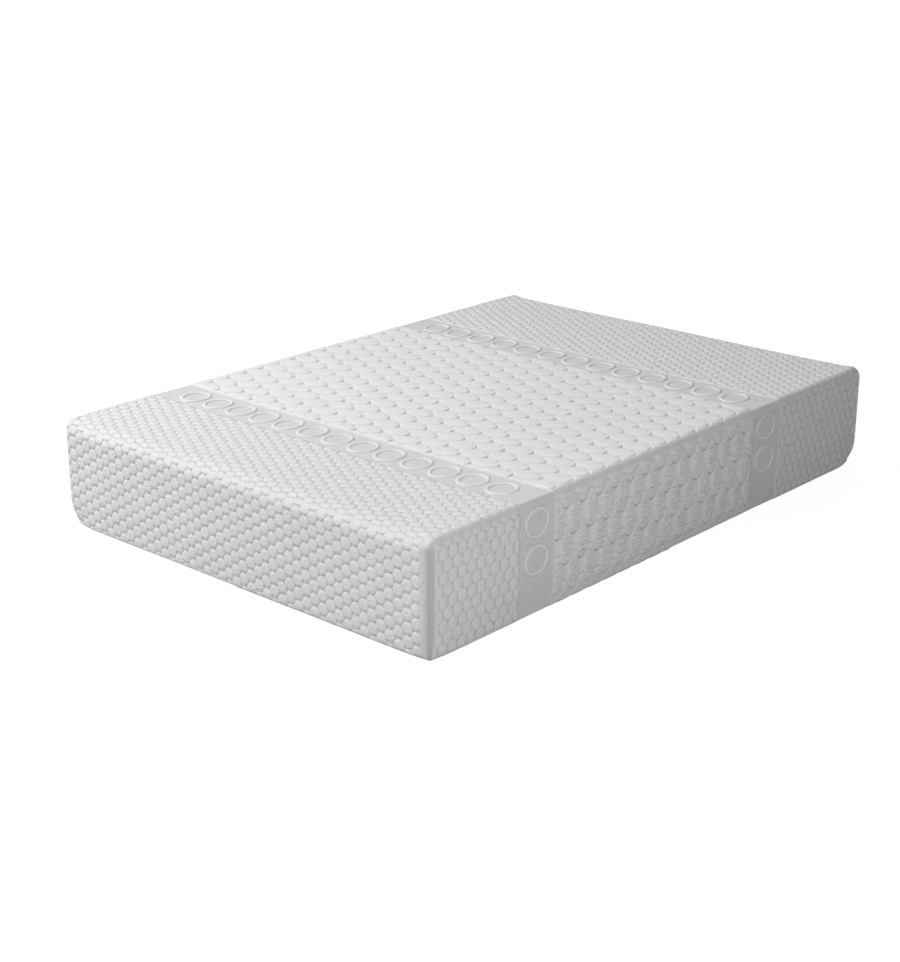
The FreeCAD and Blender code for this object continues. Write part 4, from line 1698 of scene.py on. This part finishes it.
@dataclass(frozen=True)
class CoreLayer:
    """One block of the core, or the sock round it, with soft edges and faces that crown a little."""

    node: str
    name: str
    finish: str
    radius: float = 0.006
    crown: float = 0.0
    channel_pitch: float = 0.0
    channel_width: float = 0.008
    channel_depth: float = 0.006
    step: float = 0.03
    also: tuple = ()

    def lines_along(self, half: float, count: int) -> Array:
        """Grid lines along the bed, close together where a channel has its edges.

        Args:
            half: half the block's length.
            count: how many channels cross it.

        Returns:
            Line positions in order.
        """
        if not count:
            return even_lines((-half, half), step=self.step)
        edges = [(i - (count - 1) / 2) * self.channel_pitch + side * self.channel_width / 2 + shift
                 for i in range(count) for side in (-1, 1) for shift in (-0.0004, 0.0004)]
        x = np.unique(np.round(np.concatenate([[-half, half], edges]), 6))
        return x[(x >= -half) & (x <= half)]

    def build(self) -> None:
        """Makes the block inside the space of its node."""
        low, high = (np.array(corner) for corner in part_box(self.node))
        middle, half = (low + high) / 2, (high - low) / 2
        tall = high[2] - low[2]
        count = int(2 * half[0] / self.channel_pitch) if self.channel_pitch else 0
        x = self.lines_along(half[0], count)
        y = even_lines((-half[1], half[1]), step=self.step)
        radius = self.radius
        heights = np.unique(np.concatenate([[0, radius / 2, radius], np.linspace(radius, tall - radius, 6),
                                            [tall - radius / 2, tall]]))
        skin = BoxSkin(x, y, heights, np.array([radius / 2, radius, 0.03]), upright_radius=0.02,
                       end_radius=radius, side_radius=radius, round_top=radius, end_top=radius,
                       round_bottom=radius)
        points, out = skin.rounded()
        inside = (1 - (points[:, 0] / half[0]) ** 4) * (1 - (points[:, 1] / half[1]) ** 4)
        wave = np.sin(points[:, 0] * 9.0) * np.sin(points[:, 1] * 11.0 + 0.7)
        hollow = self.crown * (1 - np.clip(inside, 0, 1)) + self.crown * 0.3 * (1 + wave)
        points = points - out * hollow[:, None]
        if count:
            turn = np.abs((skin.sharp[:, 0] / self.channel_pitch - 0.5 * ((count - 1) % 2)) % 1.0 - 0.5)
            inner = (0.5 - turn) * self.channel_pitch < self.channel_width / 2
            on_top = skin.sharp[:, 2] >= tall - 1e-9
            points[:, 2] -= np.where(inner & on_top, self.channel_depth, 0.0)
        place = np.array([middle[0], middle[1], low[2]])
        points = points + place + Slump().shift(skin.sharp + place, out) * (1 - np.abs(out[:, 2:]))
        points[:, 2] = np.maximum(points[:, 2], low[2])
        piece = skin_piece(self.name, skin, points, self.finish)
        place_piece(piece, self.finish, self.node, *self.also)


CORE = (
    CoreLayer("inner_sock", "inner_sock_bag", "sock_knit", radius=0.010, crown=0.0002,
              also=("inner_sock_base",)),
    CoreLayer("base_foam_layer", "base_foam_block", "base_foam", crown=0.0006),
    CoreLayer("transition_foam_layer", "transition_foam_block", "transition_foam", crown=0.0004,
              channel_pitch=0.095),
    CoreLayer("memory_foam_layer", "memory_foam_block", "memory_foam", radius=0.010, crown=0.0006),
)


def dress_frame() -> None:
    """Gives every node that still shows its procedural finish."""
    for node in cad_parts.values():
        for index, material in enumerate(node.data.materials):
            base = material.name.split(".")[0] if material else ""
            if base in FINISHES:
                node.data.materials[index] = finish_of(base)


# ---- studio --------------------------------------------------------------------------------------
@dataclass(frozen=True)
class Studio:
    """Camera, floor and lights."""

    eye: tuple = (-3.711, -3.216, 1.795)
    heading: float = 41.94
    pitch: float = -19.75
    lens: float = 67.7
    floor_size: float = 60.0
    floor_bounce: tuple = (0.45, 0.45, 0.46, 1)
    floor_colour: tuple = (0.95, 0.95, 0.95, 1)
    floor_glow: float = 1.1
    floor_drop: float = 0.0005
    shade_reach: tuple = (1.0, 2.6)
    shade: float = 0.86
    sky: float = 0.22
    lamps: tuple = (
        ("key", (-2.8, 2.6, 3.8), 2.0, 280, (1.0, 0.995, 1.0)),
        ("fill", (-1.9, -3.0, 1.1), 1.0, 40, (1.0, 1.0, 0.985)),
        ("back", (2.6, 0.6, 3.2), 2.0, 14, (1.0, 1.0, 1.0)),
    )

    def build_camera(self) -> None:
        """Places the camera."""
        data = bpy.data.cameras.new("camera")
        data.lens = self.lens
        data.sensor_width = 36.0
        camera = bpy.data.objects.new("camera", data)
        camera.location = self.eye
        camera.rotation_euler = (math.radians(90 + self.pitch), 0, math.radians(self.heading - 90))
        bpy.context.scene.collection.objects.link(camera)
        bpy.context.scene.camera = camera

    def build_floor(self) -> None:
        """Makes the plain pale floor."""
        half = self.floor_size / 2
        corners = [(x * half, y * half, -self.floor_drop) for x, y in ((-1, -1), (1, -1), (1, 1), (-1, 1))]
        floor = mesh_from_arrays("floor", np.array(corners), [np.array([[0, 1, 2, 3]])])
        material = bpy.data.materials.new("floor")
        material.use_nodes = True
        nodes = material.node_tree.nodes
        nodes.remove(nodes["Principled BSDF"])
        w = Wiring(material.node_tree)
        plain, pale, glow = (w.node("ShaderNodeBsdfDiffuse"), w.node("ShaderNodeBsdfDiffuse"),
                             w.node("ShaderNodeEmission"))
        plain.inputs["Color"].default_value = self.floor_bounce
        pale.inputs["Color"].default_value = self.floor_colour
        glow.inputs["Strength"].default_value = self.floor_glow
        away = w.node("ShaderNodeVectorMath", operation="LENGTH")
        w.feed(away.inputs[0], w.node("ShaderNodeTexCoord").outputs["Object"])
        share = w.node("ShaderNodeMapRange", interpolation_type="SMOOTHSTEP")
        near, far = self.shade_reach
        for label, value in (("Value", away.outputs["Value"]), ("From Min", near), ("From Max", far),
                             ("To Min", self.shade), ("To Max", 1.0)):
            w.feed(share.inputs[label], value)
        seen, both = w.node("ShaderNodeMixShader"), w.node("ShaderNodeMixShader")
        for socket, value in zip(seen.inputs, (share.outputs[0], pale.outputs[0], glow.outputs[0])):
            w.feed(socket, value)
        camera_ray = w.node("ShaderNodeLightPath").outputs["Is Camera Ray"]
        for socket, value in zip(both.inputs, (camera_ray, plain.outputs[0], seen.outputs[0])):
            w.feed(socket, value)
        w.feed(nodes["Material Output"].inputs["Surface"], both.outputs[0])
        floor.data.materials.append(material)

    def build_light(self, name: str, place: tuple, size: float, power: float, colour: tuple) -> None:
        """A soft square light that faces the mattress.

        Args:
            name: the light's name.
            place: where it stands.
            size: its side.
            power: its watts.
            colour: its colour.
        """
        data = bpy.data.lights.new(name, "AREA")
        data.size, data.energy, data.color = size, power, colour
        light = bpy.data.objects.new(name, data)
        light.location = place
        aim = Vector((0, 0, 0.15)) - Vector(place)
        light.rotation_euler = aim.to_track_quat("-Z", "Y").to_euler()
        bpy.context.scene.collection.objects.link(light)

    def build(self) -> None:
        """Builds the whole studio."""
        self.build_camera()
        self.build_floor()
        world = bpy.data.worlds.new("studio")
        world.use_nodes = True
        background = world.node_tree.nodes["Background"]
        background.inputs["Color"].default_value = (1, 1, 1, 1)
        background.inputs["Strength"].default_value = self.sky
        bpy.context.scene.world = world
        for lamp in self.lamps:
            self.build_light(*lamp)
        bpy.context.scene.view_settings.view_transform = "Standard"


def main() -> None:
    """Builds the studio and every piece, in order."""
    logging.basicConfig(level=logging.INFO, format="%(name)s: %(message)s")
    Studio().build()
    cover = Cover().build()
    place_piece(cover, "cover_knit", "cover_top")
    beads = bead_tree()
    Zip().build(beads)
    Seams().build(beads)
    BandMotif().build()
    BasePanel().build()
    for layer in CORE:
        layer.build()
    dress_frame()


if __name__ == "__main__":
    main()
